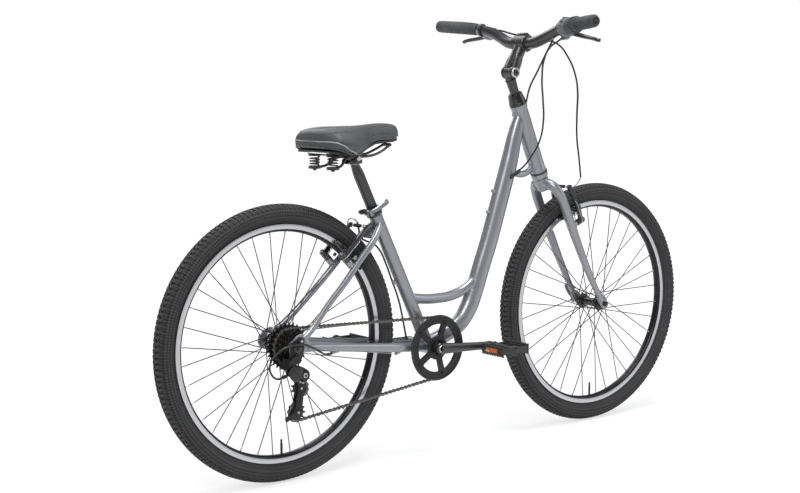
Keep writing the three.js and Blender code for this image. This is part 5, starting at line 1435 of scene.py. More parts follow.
SPRING_CENTRE = (-402, 39)


class BICYCLE_OT_saddle(Operator):
    """Models the cushion with its seams and piping, the ribbed base, rails and springs"""

    bl_idname = "bicycle.saddle"
    bl_label = "Saddle"

    def execute(self, context):
        puff = context.scene.bicycle_sizes.saddle_puff
        half = SADDLE_ROW[1:-1]
        row = [SADDLE_ROW[0], *half, SADDLE_ROW[-1], *[(-u, v) for u, v in half[::-1]]]
        shares = [(1 - math.cos(math.pi * number / 36)) / 2 for number in range(37)]
        rows = [(share, 1.0, 0.0) for share in shares]
        caps = ((0.86, 0.7), (0.62, 1.4), (0.32, 1.8))
        rows = [*[(0.0, size, -way) for size, way in caps[::-1]], *rows]
        rows = [*rows, *[(1.0, size, way) for size, way in caps]]
        loops = []
        for share, size, way in rows:
            middle = (saddle_top(share) + saddle_hem(share)) / 2
            places = []
            for u, v in row:
                x, y, z = saddle_point(u, v, share)
                places.append((x + way, y * size, middle + (z - middle) * size))
            loops.append(loop(places))
        cushion = joined(loops)
        with editing(cushion):
            bpy.ops.mesh.bridge_edge_loops(type="SINGLE")
        for end in (min, max):
            edge = end(vertex.co.x for vertex in cushion.data.vertices)
            with editing(cushion):
                bpy.ops.mesh.select_all(action="DESELECT")
            for vertex in cushion.data.vertices:
                vertex.select = abs(vertex.co.x - edge) < 0.05 * MM
            bpy.ops.object.mode_set(mode="EDIT")
            bpy.ops.mesh.edge_face_add()
            bpy.ops.object.mode_set(mode="OBJECT")
        outward(cushion)
        applied(cushion, "SUBSURF", levels=2, render_levels=2)
        self.swell(cushion, puff)
        smoothed(cushion, 60)
        finished(cushion, "saddle_cushion", "saddle", "leather", stands_for=("saddle_pad",))
        self.make_seams()
        self.make_base()
        self.make_springs_and_rails()
        return {"FINISHED"}

    def swell(self, cushion, puff):
        """Lets the top panel swell a little between the seams."""
        length = (SADDLE_NOSE - SADDLE_REAR) * MM
        for vertex in cushion.data.vertices:
            share = (vertex.co.x - SADDLE_REAR * MM) / length
            wide = saddle_half(max(0.0, min(1.0, share))) * MM
            across = min(1.0, abs(vertex.co.y) / wide)
            lobe = math.sin(math.pi * min(1.0, across * 1.05)) * math.sin(
                math.pi * max(0.0, min(1.0, share)),
            )
            if vertex.normal.z > 0.2:
                vertex.co.z += puff * 0.5 * lobe * vertex.normal.z

    def make_seams(self):
        """Piping round the rear, a hem, and a stitched seam round the top panel."""
        welt = [saddle_point(0.985, -0.56 - 0.4 * share / 0.26, share) for share in
                (0.26, 0.22, 0.18, 0.14, 0.1, 0.06, 0.03, 0.012, 0.0)]
        rear = Vector((SADDLE_REAR - 0.6, 0, welt[-1][2] + 0.6))
        across = [rear + Vector((0, step, 0)) for step in (-18, 0, 18)]
        line = tube(
            [*[mirrored(place) for place in welt], *across, *welt[::-1]], 1.5, around=3, along=4,
        )
        finished(line, "saddle_piping", "saddle", "piping")
        shares = [number / 30 for number in range(31)]
        right = [saddle_point(0.965, -0.985, share) for share in shares]
        left = [mirrored(place) for place in right[::-1]]
        line = tube([*right, *left], 1.6, around=3, along=3, closed=True)
        finished(line, "saddle_hem", "saddle", "leather")
        stitches = []
        for side in (-1, 1):
            seam = [
                saddle_point(side * 0.74, -0.155, 0.05 + number * 0.0375) for number in range(22)
            ]
            stitches.append(tube(seam, 0.9, around=2, along=3))
        finished(stitches, "saddle_seams", "saddle", "leather")

    def make_base(self):
        """The moulded base under the cushion, with cross ribs."""
        base = refined("saddle_base", "saddle", "plastic", width=0.8)
        base.name = "saddle_base_shell"
        ribs = []
        for number in range(5):
            share = 0.16 + number * 0.09
            x = SADDLE_REAR + share * (SADDLE_NOSE - SADDLE_REAR)
            under = saddle_top(share) - saddle_thick(share) - 5.6
            ribs.append(block((2, saddle_half(share) * 1.5, 3.2), (x, 0, under), edge=0.6))
        finished(ribs, "saddle_base_ribs", "saddle", "plastic")

    def make_springs_and_rails(self):
        """The bent rails, the clamp blocks and two coil springs on their plates."""
        px, _, pz = POST_TOP
        rails, clamps = [], []
        for side in (-1, 1):
            route = [
                (-206, 14, 824), (-232, 18, 811), (-262, 20, pz + 7), (px, 20, pz + 3),
                (px - 34, 22, pz), (-372, 31, 777), (*SPRING_CENTRE, 772),
            ]
            rails.append(tube(on_side(route, side), 3.5, around=6))
            turns = [number / 24 for number in range(24 * 3 + 1)]
            x, y = SPRING_CENTRE
            coil = [
                (x + 12 * math.cos(math.tau * t), side * (y + 12 * math.sin(math.tau * t)),
                 778.8 + 19.4 * t / 3) for t in turns
            ]
            rails.append(tube(
                [(coil[0][0], coil[0][1], 776), *coil, (coil[-1][0], coil[-1][1], 801)], 1.9,
                around=4, along=2,
            ))
            for low, high in ((769, 776.5), (800.5, 804)):
                rails.append(spun(
                    [(0.1, low), (15, low), (16, low + 1), (16, high - 1), (15, high), (0.1, high)],
                    (x, side * y, 0), UPWARDS, 40))
            rails.append(rod((x, side * y, 764.6), (x, side * y, 769), 5, 6, 0.5))
            lower = block((31, 11.4, 11), (px, side * 18.2, pz - 8), (0, 0, 0), 2)
            upper = block((30, 11.4, 11), (px, side * 18.2, pz + 6.4), (0, 0, 0), 2.6)
            grooved = rod((px, side * 20, pz - 2), (px, side * 26, pz - 2), 9, 32, 1)
            clamps += [lower, upper, smoothed(grooved, 30)]
        rails.append(rod((-206, -16, 824), (-206, 16, 824), 4.5, 28, 1))
        finished(
            rails, "saddle_rails_and_springs", "saddle", "black_paint",
            stands_for=("saddle_rails",),
        )
        bolt = rod((px, -29, pz), (px, 29, pz), 4, 24, 0.5)
        nuts = [rod((px, side * 24.4, pz), (px, side * 30, pz), 6.6, 6, 0.6) for side in (-1, 1)]
        finished(clamps, "saddle_clamp_plates", "saddle", "black_paint")
        shelf = block((26, 44, 3), (px - 4, 0, pz - 15), (0, 6, 0), 1)
        finished(shelf, "saddle_clamp_shelf", "saddle", "cast")
        finished([bolt, *nuts], "saddle_clamp_bolt", "saddle", "steel")


class BICYCLE_OT_seatpost(Operator):
    """Models the tapered seatpost, the collar on the seat tube and its quick release"""

    bl_idname = "bicycle.seatpost"
    bl_label = "Seatpost and collar"

    def execute(self, context):
        post = spun(
            [(0.1, 241), (13.6, 241), (14.2, 242), (14.2, 511), (13.7, 519), (12.2, 530),
             (10.6, 541), (10, 548), (10, 553), (0.1, 553)],
            SEAT_TUBE_FOOT, SEAT_TUBE_RISE, 56,
        )
        head = spun(
            [(0.1, -12), (10.6, -12), (11.4, -11.2), (11.4, 11.2), (10.6, 12), (0.1, 12)], POST_TOP,
            steps=48)
        finished(
            [post, head], "seatpost_painted", "seatpost", "black_paint", stands_for=("seatpost",),
        )
        refined("seat_collar", "frame", "black_paint", width=0.8)
        band = spun(
            [(17.7, 403), (21.9, 403), (22.2, 403.5), (22.2, 406.5), (21.9, 407), (17.7, 407)],
            SEAT_TUBE_FOOT, SEAT_TUBE_RISE, 56)
        finished(band, "seat_collar_groove", "frame", "anodised")
        for end in ("seat", "front"):
            refined(end + "_quick_release_lever", end + "_lever", "cast", width=1.0)
        return {"FINISHED"}


# Drive

PITCH = 12.7
LINKS = 118
DRIVEN_COG = 22
RING_TEETH = 40
JOCKEY_TEETH = 11
COGS = ((28, -33), (24, -38), (22, -43), (20, -48), (18, -53), (16, -58), (14, -63))
RING_LINE = -45
GUARD_LINE = -51
SPIDER_ARMS = 5
CRANK_LENGTH = 170
CRANK_LINE = 67.5
PEDAL_LINE = 128
CHAIN_LINE = -43
CRANK_DROOP = math.radians(-3.5)
REAR_CENTRE = (REAR_AXLE[0], AXLE_HEIGHT)
BRACKET_CENTRE = (BRACKET_AXLE[0], BRACKET_AXLE[2])
CAGE_PIVOT = (-517, 276)
CAGE_AXIS = (CAGE_PIVOT[0], 0, CAGE_PIVOT[1])
UPPER_JOCKEY = (-513.19, 239.70)
LOWER_JOCKEY = (-522.81, 180.18)
CHAIN_WHEELS = (
    (REAR_CENTRE, DRIVEN_COG, 1, CHAIN_LINE), (BRACKET_CENTRE, RING_TEETH, 1, RING_LINE),
    (LOWER_JOCKEY, JOCKEY_TEETH, 1, CHAIN_LINE), (UPPER_JOCKEY, JOCKEY_TEETH, -1, CHAIN_LINE),
)


def pitch_radius(teeth):
    return PITCH / (2 * math.sin(math.pi / teeth))


def pedal_axis(side):
    """The x and z of a pedal's pin."""
    return round_about(BRACKET_CENTRE, -side * CRANK_LENGTH, CRANK_DROOP)


def chain_spans():
    """The straight spans between the chain's wheels, each from tangent to tangent."""
    spans = []
    following = (*CHAIN_WHEELS[1:], CHAIN_WHEELS[0])
    for (start, teeth, way, _), (stop, next_teeth, next_way, _) in zip(CHAIN_WHEELS, following):
        reach = Vector(stop) - Vector(start)
        near, far = way * pitch_radius(teeth), next_way * pitch_radius(next_teeth)
        heading = math.atan2(reach.y, reach.x) - math.asin((near - far) / reach.length)
        side = Vector((-math.sin(heading), math.cos(heading)))
        spans.append((Vector(start) + side * near, Vector(stop) + side * far))
    return spans


def chain_pins():
    """The place (x, y, z) of every pin along the chain, and the pins' angles on each wheel."""
    spans = chain_spans()
    pieces = []
    for number, (centre, teeth, way, line) in enumerate(CHAIN_WHEELS):
        arrival = spans[number - 1][1] - Vector(centre)
        departure = spans[number][0] - Vector(centre)
        first = math.atan2(arrival.y, arrival.x)
        last = math.atan2(departure.y, departure.x)
        sweep = (way * (first - last)) % math.tau
        pieces.append(("arc", sweep * pitch_radius(teeth), centre, teeth, way, line, first))
        next_line = CHAIN_WHEELS[(number + 1) % len(CHAIN_WHEELS)][3]
        start, stop = spans[number]
        pieces.append(("span", (stop - start).length, start, stop, line, next_line))
    pins, angles, before, number = [], [[], [], [], []], 0.0, 0
    for order, (kind, length, *rest) in enumerate(pieces):
        while number < LINKS and number * PITCH < before + length:
            along = number * PITCH - before
            if kind == "arc":
                centre, teeth, way, line, first = rest
                radius = pitch_radius(teeth)
                turn = first - way * along / radius
                angles[order // 2].append(turn)
                x, z = round_about(centre, radius, turn)
            else:
                start, stop, line, next_line = rest
                share = along / length
                x, z = start.lerp(stop, share)
                line = line + (next_line - line) * share
            pins.append((x, line, z))
            number += 1
        before += length
    return pins, [turns[len(turns) // 2] for turns in angles]


def copied(piece, matrices):
    """One piece from copies of another at several places."""
    copies = []
    for matrix in matrices:
        pick(piece)
        bpy.ops.object.duplicate(linked=False)
        copies.append(bpy.context.object)
        copies[-1].matrix_world = matrix
    bpy.data.objects.remove(piece)
    pick(*copies)
    bpy.ops.object.transform_apply(location=True, rotation=True, scale=True)
    return joined(copies)


def sprocket(centre, teeth, across, thickness, phase, cutters=(), edge=0.3):
    """A toothed wheel. The phase is the angle of one seat for a roller."""
    radius = pitch_radius(teeth)
    profile = (
        (-0.5, 3.2), (-0.42, 2.9), (-0.33, 0.4), (-0.2, -3.0), (0, -4.1), (0.2, -3.0), (0.33, 0.4),
        (0.42, 2.9),
    )
    outline = []
    for tooth in range(teeth):
        for share, rise in profile:
            turn = phase + (tooth + share) * math.tau / teeth
            outline.append(round_about(centre, radius + rise, turn))
    piece = plate(outline, thickness, moved((0, across, 0)), 0)
    return rounded(cut_out(piece, cutters), edge, 1, 40)


def window(across, inner, outer, arm_half, number):
    """A cutter for one rounded window between two arms of a spider."""
    start = CRANK_DROOP + number * math.tau / SPIDER_ARMS
    end = start + math.tau / SPIDER_ARMS
    outline = []
    for radius, shares in ((outer, (0, 0.25, 0.5, 0.75, 1)), (inner, (1, 0.5, 0))):
        for share in shares:
            low, high = start + arm_half / radius, end - arm_half / radius
            outline.append(round_about(BRACKET_CENTRE, radius, low + (high - low) * share))
    cutter = plate(outline, 26, moved((0, across, 0)), 0)
    return rounded(cutter, 5, 4, 40)


def strap(stations, across, thickness, edge=0.5):
    """Flat plates that run from one round station (x, z, radius) to the next."""
    plates = []
    for level, (start, stop) in enumerate(zip(stations, stations[1:])):
        heading = math.atan2(stop[1] - start[1], stop[0] - start[0])
        outline = []
        for station, first in ((start, heading + math.pi / 2), (stop, heading - math.pi / 2)):
            for number in range(9):
                outline.append(round_about(station, station[2], first + math.pi * number / 8))
        place = moved((0, across - level * 0.15, 0))
        plates.append(plate(outline, thickness, place, edge))
    return joined(plates)


class BICYCLE_OT_chain(Operator):
    """Models the chain link by link, with rollers, pins and two kinds of side plates"""

    bl_idname = "bicycle.chain"
    bl_label = "Chain"

    def execute(self, context):
        pins, _ = chain_pins()
        links = []
        for kind, middle, part_radius, part_half in (
            ("outer", 2.8, 1.8, 3.3), ("inner", 1.85, 3.85, 1.4),
        ):
            outline = []
            for end in (1, -1):
                for number in range(9):
                    turn = math.radians(-110 + number * 27.5)
                    outline.append(
                        (end * (6.35 + 4.3 * math.cos(turn)), end * 4.3 * math.sin(turn)),
                    )
                outline.append((0, end * 2.1))
            parts = []
            for side in (-1, 1):
                place = moved((0, side * middle, 0))
                parts.append(plate(outline, 0.85, place, 0.22))
                spot = side * PITCH / 2
                parts.append(rod((spot, -part_half, 0), (spot, part_half, 0), part_radius, 14, 0.3))
            link = joined(parts)
            first = 0 if kind == "outer" else 1
            matrices = []
            for number in range(first, LINKS, 2):
                start, stop = Vector(pins[number]), Vector(pins[(number + 1) % LINKS])
                heading = math.atan2(stop.z - start.z, stop.x - start.x)
                place = moved((start + stop) / 2)
                matrices.append(place @ Matrix.Rotation(-heading, 4, "Y"))
            links.append(copied(link, matrices))
        finished(links, "chain_links", "frame", "chain_steel", stands_for=("chain",))
        return {"FINISHED"}


class BICYCLE_OT_cranks(Operator):
    """Models the cogs, the toothed ring with its guard, both cranks and both pedals"""

    bl_idname = "bicycle.cranks"
    bl_label = "Cogs, ring, cranks and pedals"

    def execute(self, context):
        _, phases = chain_pins()
        self.make_cogs(phases[0])
        self.make_ring(phases[1])
        for side, end in RIGHT_LEFT:
            self.make_crank(side, end)
            self.make_pedal(side, end)
        refined("bottom_bracket_cartridge", "frame", "anodised", width=0.4)
        return {"FINISHED"}

    def make_cogs(self, phase):
        cogs = []
        for number, (teeth, line) in enumerate(COGS):
            turn = phase if teeth == DRIVEN_COG else phase + number * 0.13
            bore = rod(on_axle(REAR_CENTRE, line - 9), on_axle(REAR_CENTRE, line + 9), 17, 40, 0)
            cogs.append(sprocket(REAR_CENTRE, teeth, line, 1.8, turn, [bore]))
            if number:
                size = pitch_radius(teeth) - 6
                outline = [(17, 0.9), (size, 0.9), (size, 4.1), (17, 4.1)]
                cogs.append(spun(outline, on_axle(REAR_CENTRE, line), steps=48))
        body = spun(
            [(10.6, -64.6), (14, -64.6), (14.6, -66), (19, -66), (20, -65), (20, -29), (10.6, -29)],
            REAR_AXLE, steps=56,
        )
        finished(
            [*cogs, body], "freewheel_sprockets", "freewheel", "dark_steel",
            stands_for=("freewheel_cogs",),
        )

    def make_ring(self, phase):
        centre = BRACKET_CENTRE
        windows = [window(RING_LINE, 26, 66, 7, number) for number in range(SPIDER_ARMS)]
        bore = rod(on_axle(centre, -60), on_axle(centre, -30), 16.2, 40, 0)
        ring = sprocket(centre, RING_TEETH, RING_LINE, 2, phase, [*windows, bore])
        finished(ring, "toothed_ring", "crankset", "dark_steel", stands_for=("chainring",))
        guard = spun(
            [(17.6, 1.2), (85.6, 1.2), (87.2, 0.7), (87.9, -0.6), (87.3, -2.0), (86, -2.5),
             (84.6, -2.1), (83.8, -1.2), (67.2, -1.2), (66.8, -2.0), (17.6, -2.0)],
            on_axle(centre, GUARD_LINE), steps=120, angle=None,
        )
        windows = [window(GUARD_LINE, 32, 64, 8, number) for number in range(SPIDER_ARMS)]
        guard = rounded(cut_out(guard, windows), 0.5, 2, 40)
        finished(guard, "ring_guard", "crankset", "guard", "anodised")
        for face in guard.data.polygons:
            spot = face.center / MM
            if math.hypot(spot.x - centre[0], spot.z - centre[1]) > 83.6:
                face.material_index = 1
        rivets = []
        for number in range(SPIDER_ARMS):
            x, z = round_about(centre, 71, CRANK_DROOP + number * math.tau / SPIDER_ARMS)
            rivets.append(rod((x, GUARD_LINE - 3.6, z), (x, RING_LINE + 1.6, z), 5, 24, 0.9))
        finished(rivets, "guard_rivets", "crankset", "dark_steel")

    def make_crank(self, side, end):
        x, z = pedal_axis(side)
        eye = Vector((x, side * CRANK_LINE, z))
        foot = Vector(beside(BRACKET_AXLE, side * CRANK_LINE))
        arm = tube(
            [foot.lerp(eye, share) for share in (0, 0.12, 0.4, 0.7, 0.95, 1.02)],
            [(0, 15), (0.12, 14.6), (0.4, 12.2), (0.85, 10.6), (1, 11)], flatten=0.5, around=12,
        )
        boss = spun(
            [(5, 40.4), (14.4, 40.4), (15.2, 41.2), (15.2, 69), (14.2, 70.6), (11.4, 71), (5, 71)],
            BRACKET_AXLE, (0, side, 0), 56,
        )
        eye = spun(
            [(0.1, 60.9), (10.6, 60.9), (11.6, 62), (11.6, 73), (10.6, 74), (0.1, 74)], (x, 0, z),
            (0, side, 0), 48)
        parts = [arm, boss, eye]
        if side < 0:
            parts.append(rod(beside(BRACKET_AXLE, -62), beside(BRACKET_AXLE, 38), 8.3, 28, 0.6))
        finished(parts, end + "_crank_arm", "crankset", "black_paint", stands_for=(end + "_crank",))
        cap = spun(
            [(4.8, 70), (9.6, 70), (9.9, 70.6), (9.9, 72), (9.2, 72.8), (7.8, 72.8), (7.2, 72),
             (7.2, 71.2), (4.8, 71.2)],
            BRACKET_AXLE, (0, side, 0), 48)
        finished(cap, end + "_crank_bolt_ring", "crankset", "steel")
        bolt = socket_screw(beside(BRACKET_AXLE, side * 70), (0, side, 0), 6.6, 2)
        finished(bolt, end + "_crank_bolt", "crankset", "dark_steel")
        pin = [
            rod((x, side * 66, z), (x, side * 80, z), 8.4, 6, 0.6),
            rod((x, side * 66, z), (x, side * 172, z), 5.6, 24, 0.5),
        ]
        finished(pin, end + "_pedal_pin", "crankset", "steel")

    def make_pedal(self, side, end):
        x, z = pedal_axis(side)
        teeth = []
        for number in range(9):
            spot = -44.6 + number * 9.9
            teeth += [(spot, 14.3), (spot + 3.4, 14.3), (spot + 4.9, 11.4), (spot + 8.4, 11.4)]
        outline = [*teeth[:-2], *[(along, -height) for along, height in teeth[-3::-1]]]
        parts = []
        for edge in (-1, 1):
            place = moved((x + edge * 44.4, side * PEDAL_LINE, z))
            parts.append(plate(outline, 5, place @ Matrix.Rotation(math.pi / 2, 4, "Z"), 0.7))
            parts.append(block((4, 52, 17), (x + edge * 40, side * PEDAL_LINE, z), edge=1.2))
            for across in (106, 128, 150):
                parts.append(block((34, 4, 8), (x + edge * 24, side * across, z), edge=1))
        for across in (86.5, 169):
            parts.append(block((88, 6, 17), (x, side * across, z), edge=1.6))
            parts.append(spun(
                [(7.2, -3.4), (12.4, -3.4), (13.4, -2.4), (13.4, 2.4), (12.4, 3.4), (7.2, 3.4)],
                (x, side * across, z), steps=40))
        parts.append(spun(
            [
                (7.2, 83.4), (10.4, 83.4), (10.4, 124), (8.8, 130), (8.8, 160), (9.6, 172),
                (7.2, 172),
            ],
            (x, 0, z), (0, side, 0), 40))
        finished(
            parts, end + "_pedal_body", end + "_pedal", "plastic", stands_for=(end + "_pedal",),
        )
        lenses = [
            block((1.8, 45, 11.6), (x + edge * 47.2, side * PEDAL_LINE, z), edge=0.7)
            for edge in (-1, 1)
        ]
        finished(lenses, end + "_pedal_reflectors", end + "_pedal", "orange")
        cap = rod((x, side * 171.6, z), (x, side * 173, z), 7.6, 32, 0.5)
        finished(cap, end + "_pedal_cap", end + "_pedal", "anodised")


LINK_FROM = Vector((-569, -92, 306))
LINK_REACH = Vector((36, 14, -19.5))


def link_matrix():
    """The outer link's own frame: along it, across it and along its pins."""
    along = LINK_REACH.normalized()
    pin = Vector((-LINK_REACH.z, 0, LINK_REACH.x)).normalized()
    side = pin.cross(along)
    turn = Matrix((along, side, pin)).transposed().to_4x4()
    return moved(LINK_FROM) @ turn


class BICYCLE_OT_derailleur(Operator):
    """Models the rear derailleur with its bolts, screws, cage and jockey wheels"""

    bl_idname = "bicycle.derailleur"
    bl_label = "Rear derailleur"

    def execute(self, context):
        _, phases = chain_pins()
        refined("derailleur_knuckle", "frame", "guard", width=1.0)
        for body in ("outer_link", "inner_link", "moving_knuckle"):
            refined("derailleur_" + body, body, "guard", width=1.0)
        cover = plate(
            [(-15, -18), (-9, -24), (10, -29), (28, -29), (36, -23), (39, -12), (37, 2), (31, 10),
             (16, 9), (-4, 2), (-13, -6)],
            4.4, link_matrix() @ moved((0, -10.4, 0)), 2,
        )
        rib = block((42, 2.4, 3), (10, -13, -8), (0, 8, 0), 1, link_matrix())
        finished([cover, rib], "parallelogram_cover", "outer_link", "guard")
        lobe = spun(
            [
                (0.1, 54), (13.5, 54), (15.4, 55.6), (16, 58), (16, 70), (15, 73), (12.4, 75),
                (0.1, 75.4),
            ],
            CAGE_AXIS, SIDEWAYS, 56, angle=35)
        finished(lobe, "cage_pivot_housing", "moving_knuckle", "guard")
        eye = spun(
            [(3.4, 75), (5.8, 75), (6.2, 75.6), (6.2, 76.6), (5.6, 77.2), (3.4, 77)], CAGE_AXIS,
            SIDEWAYS, 40)
        finished(eye, "cage_pivot_ring", "moving_knuckle", "steel")
        claw = plate(
            [(-557, 360), (-541, 368), (-530, 372), (-520, 368), (-519, 345), (-524, 325),
             (-532, 311), (-546, 305), (-558, 312), (-560, 334)],
            2.6, moved((0, -75.2, 0)), 0.8,
        )
        finished(claw, "hanger_plate", "frame", "guard")
        stud = spun(
            [(0.1, 76), (9.6, 76), (10, 77), (9, 79), (5, 80.4), (4.8, 79.4), (0.1, 79.4)],
            (-530, 0, 363), SIDEWAYS, 40, angle=35)
        finished(stud, "hanger_plate_stud", "frame", "guard")
        tip = rod((-530, -78, 363), (-530, -82, 363), 4, 24, 0.5)
        finished(tip, "hanger_plate_stud_end", "frame", "steel")
        ring = spun(
            [(4.6, 86), (10.2, 86), (10.2, 88), (9.4, 89), (8, 89.2), (6.8, 88.4), (4.6, 88.2)],
            (-546, 0, 320), SIDEWAYS, 48)
        finished(ring, "hanger_bolt_ring", "frame", "guard")
        socket = socket_screw((-546, -86, 320), SIDEWAYS, 6.2, 2.4)
        finished(socket, "hanger_bolt_socket", "frame", "dark_steel")
        screws = []
        for x, z in ((-530, 262), (-522, 259)):
            screws.append(socket_screw((x, -70, z), (-0.3, -1, -0.1), 2.4, 6))
        finished(screws, "limit_screws", "moving_knuckle", "steel")
        clamp = socket_screw((-551, -93, 301), (0.1, -1, -0.1), 4.4, 4)
        finished(clamp, "cable_clamp_bolt", "outer_link", "steel")
        barrel = [
            rod((-591, -86.1, 281.6), (-582, -85.8, 283.6), 4.6, 12, 0.5),
            rod((-583, -85.8, 283.4), (-573, -85.4, 286), 3.2, 20, 0.4),
        ]
        finished(barrel, "derailleur_cable_adjuster", "frame", "plastic")
        pivot = (*CAGE_PIVOT, 12)
        tail = (LOWER_JOCKEY[0] - 34, LOWER_JOCKEY[1] - 14, 5)
        outer = strap([pivot, (*UPPER_JOCKEY, 9), (*LOWER_JOCKEY, 11), tail], -50.1, 1.8)
        inner = strap([(*UPPER_JOCKEY, 9), (*LOWER_JOCKEY, 11)], -36.2, 1.5)
        tab = block((15, 1.8, 13), (tail[0] + 4, -50.1, tail[1] + 2), (0, -20, 0), 0.5)
        bolts = []
        for x, z in (UPPER_JOCKEY, LOWER_JOCKEY):
            bolts.append(rod((x, -51.4, z), (x, -35, z), 3, 20, 0.3))
        hub = spun(
            [(0.1, 49), (11, 49), (12, 50), (12, 51.4), (11.2, 52.2), (0.1, 52.2)], CAGE_AXIS,
            SIDEWAYS, 48)
        finished(
            [outer, inner, tab, *bolts, hub], "derailleur_cage_plates", "cage", "guard",
            stands_for=("derailleur_cage",),
        )
        heads = [
            socket_screw((x, -51, z), SIDEWAYS, 3.2, 1.8) for x, z in (UPPER_JOCKEY, LOWER_JOCKEY)
        ]
        finished(heads, "jockey_bolt_heads", "cage", "steel")
        for name, centre, phase in (
            ("upper", UPPER_JOCKEY, phases[3]), ("lower", LOWER_JOCKEY, phases[2]),
        ):
            bore = rod(on_axle(centre, -60), on_axle(centre, -20), 3.4, 24, 0)
            wheel = sprocket(centre, JOCKEY_TEETH, CHAIN_LINE, 3.4, phase, [bore])
            shell = spun(
                [(3.4, -3.6), (10, -3.6), (10.6, -3), (10.6, 3), (10, 3.6), (3.4, 3.6)],
                on_axle(centre, CHAIN_LINE), steps=40)
            finished(
                [wheel, shell], name + "_jockey_teeth", name + "_jockey", "plastic",
                stands_for=(name + "_jockey_wheel",),
            )
            caps = spun(
                [(3.5, -4.4), (8.6, -4.4), (8.6, -3.4), (3.5, -3.4)], on_axle(centre, CHAIN_LINE),
                steps=40)
            finished(caps, name + "_jockey_seal", name + "_jockey", "dark_steel")
        return {"FINISHED"}


# Brakes and cables

BRAKE_FRAMES = {
    "front": (at_head((62.06, 0, -169.7)), HEAD_AHEAD, 1, 15),
    "rear": ((-375.07, 0, 553.26), (0.6691, -0.7431), -1, 43),
}
ARM_TIP = 104


def brake_place(end, ahead, across, up):
    """A place on a brake's own frame: its origin is between the two arm pivots."""
    origin, (cos, sin), _, _ = BRAKE_FRAMES[end]
    return (origin[0] + ahead * cos - up * sin, across, origin[2] + ahead * sin + up * cos)


class BICYCLE_OT_brakes(Operator):
    """Models both brakes: arms, pads on threaded posts, springs and bolts"""

    bl_idname = "bicycle.brakes"
    bl_label = "Brakes"

    def execute(self, context):
        for end, (_, (cos, sin), face, stand) in BRAKE_FRAMES.items():
            out = Vector((cos, 0, sin)) * face
            for side, hand in ((1, "left"), (-1, "right")):
                body = f"{end}_{hand}_arm"
                name = f"{end}_{hand}"
                refined(f"{end}_{hand}_brake_arm", body, "black_paint", width=1.1)
                pivot = brake_place(end, face * 7.5, side * 42, 0)
                finished(socket_screw(pivot, out, 5, 4), name + "_pivot_bolt", body, "steel")
                pad = []
                for turn in (-4.2, 0, 4.2):
                    along = math.sin(math.radians(turn)) * 290.5
                    rise = math.cos(math.radians(turn)) * 290.5 - 262
                    spot = brake_place(end, along - face * stand, side * 19.4, rise)
                    tilt = -math.degrees(math.atan2(sin, cos)) + turn
                    pad.append(block((23, 7.4, 11), spot, (0, tilt, 0), 1.4))
                finished(pad, name + "_brake_pad", body, "pad_rubber")
                spot = brake_place(end, -face * stand, side * 42, 28.5)
                nut = rod(spot, beside(spot, side * 47.4), 5.6, 6, 0.5)
                washer = rod(beside(spot, side * 36), beside(spot, side * 38.4), 8, 28, 0.6)
                finished([nut, washer], name + "_pad_nut", body, "steel")
                bent = ((46, -8), (51, 2), (51, 30), (49, 58), (44, 62))
                wire = [brake_place(end, -face * 3, side * across, up) for across, up in bent]
                spring = tube(wire, 0.9, around=3)
                finished(spring, name + "_return_spring", body, "steel")
                if hand == ("right" if end == "rear" else "left"):
                    place = brake_place(end, face * 5, side * 34, ARM_TIP - 4)
                    clamp = socket_screw(place, out, 4.6, 4.6)
                    finished(clamp, name + "_cable_clamp", body, "steel")
        return {"FINISHED"}


FRONT_CABLE_ROUTE = (
    (108.5, 133, 384.8), (112.5, 119, 382), (123, 80, 366), (137, 24, 348), (149, -24, 334),
    (161, -40, 321), (176, -52, 274), (176, -60, 220), (166, -62, 178), (141, -64, 127),
    (112, -67, 64), (96, -69, 6), (86, -66, -44),
)
REAR_CABLE_ROUTE = (
    (-143, 2, 316), (-152, 3, 360), (-165, 6, 419), (-186.5, 7.4, 474), (-206.4, 5, 516.6),
    (-227, 4, 554), (-248, 6, 574), (-267, 10, 581), (-280, 14, 591), (-279, 24, 612),
    (-274, 36, 627),
)
SHIFT_ROUTE = (
    (255, -113, 1070), (246, -102, 1040), (250, -90, 985), (264, -80, 932), (276, -70, 878),
    (275, -58, 824), (259, -42, 780), (243, -25, 750), (234, -15, 740),
)
BRAKE_ROUTE = (
    (282.4, -111.2, 1118), (282, -101, 1098), (269, -85, 1056), (263, -58, 1008), (265, -30, 972),
    (282, 2, 938), (298, 26, 905), (302, 38, 850), (290, 42, 800), (262, 34, 764), (240, 18, 744),
)
LOOP_ROUTE = (
    (-432, -60, 317), (-450, -66, 319.5), (-468, -73, 327), (-490, -79, 339), (-520, -87, 353),
    (-566, -93, 358), (-606, -92, 344), (-628, -90, 318), (-622, -88, 292), (-604, -87, 280),
    (-590, -86, 282),
)
HOUSING_RADIUS = 2.5


def metres(place):
    return tuple(part * MM for part in place)


def cut_level(piece, height, keep_above):
    """Keeps what is above or below a level, in millimetres."""
    with editing(piece):
        bpy.ops.mesh.bisect(
            plane_co=(0, 0, height * MM), plane_no=UPWARDS, use_fill=True, clear_inner=keep_above,
            clear_outer=not keep_above,
        )
    return smoothed(piece, 50)


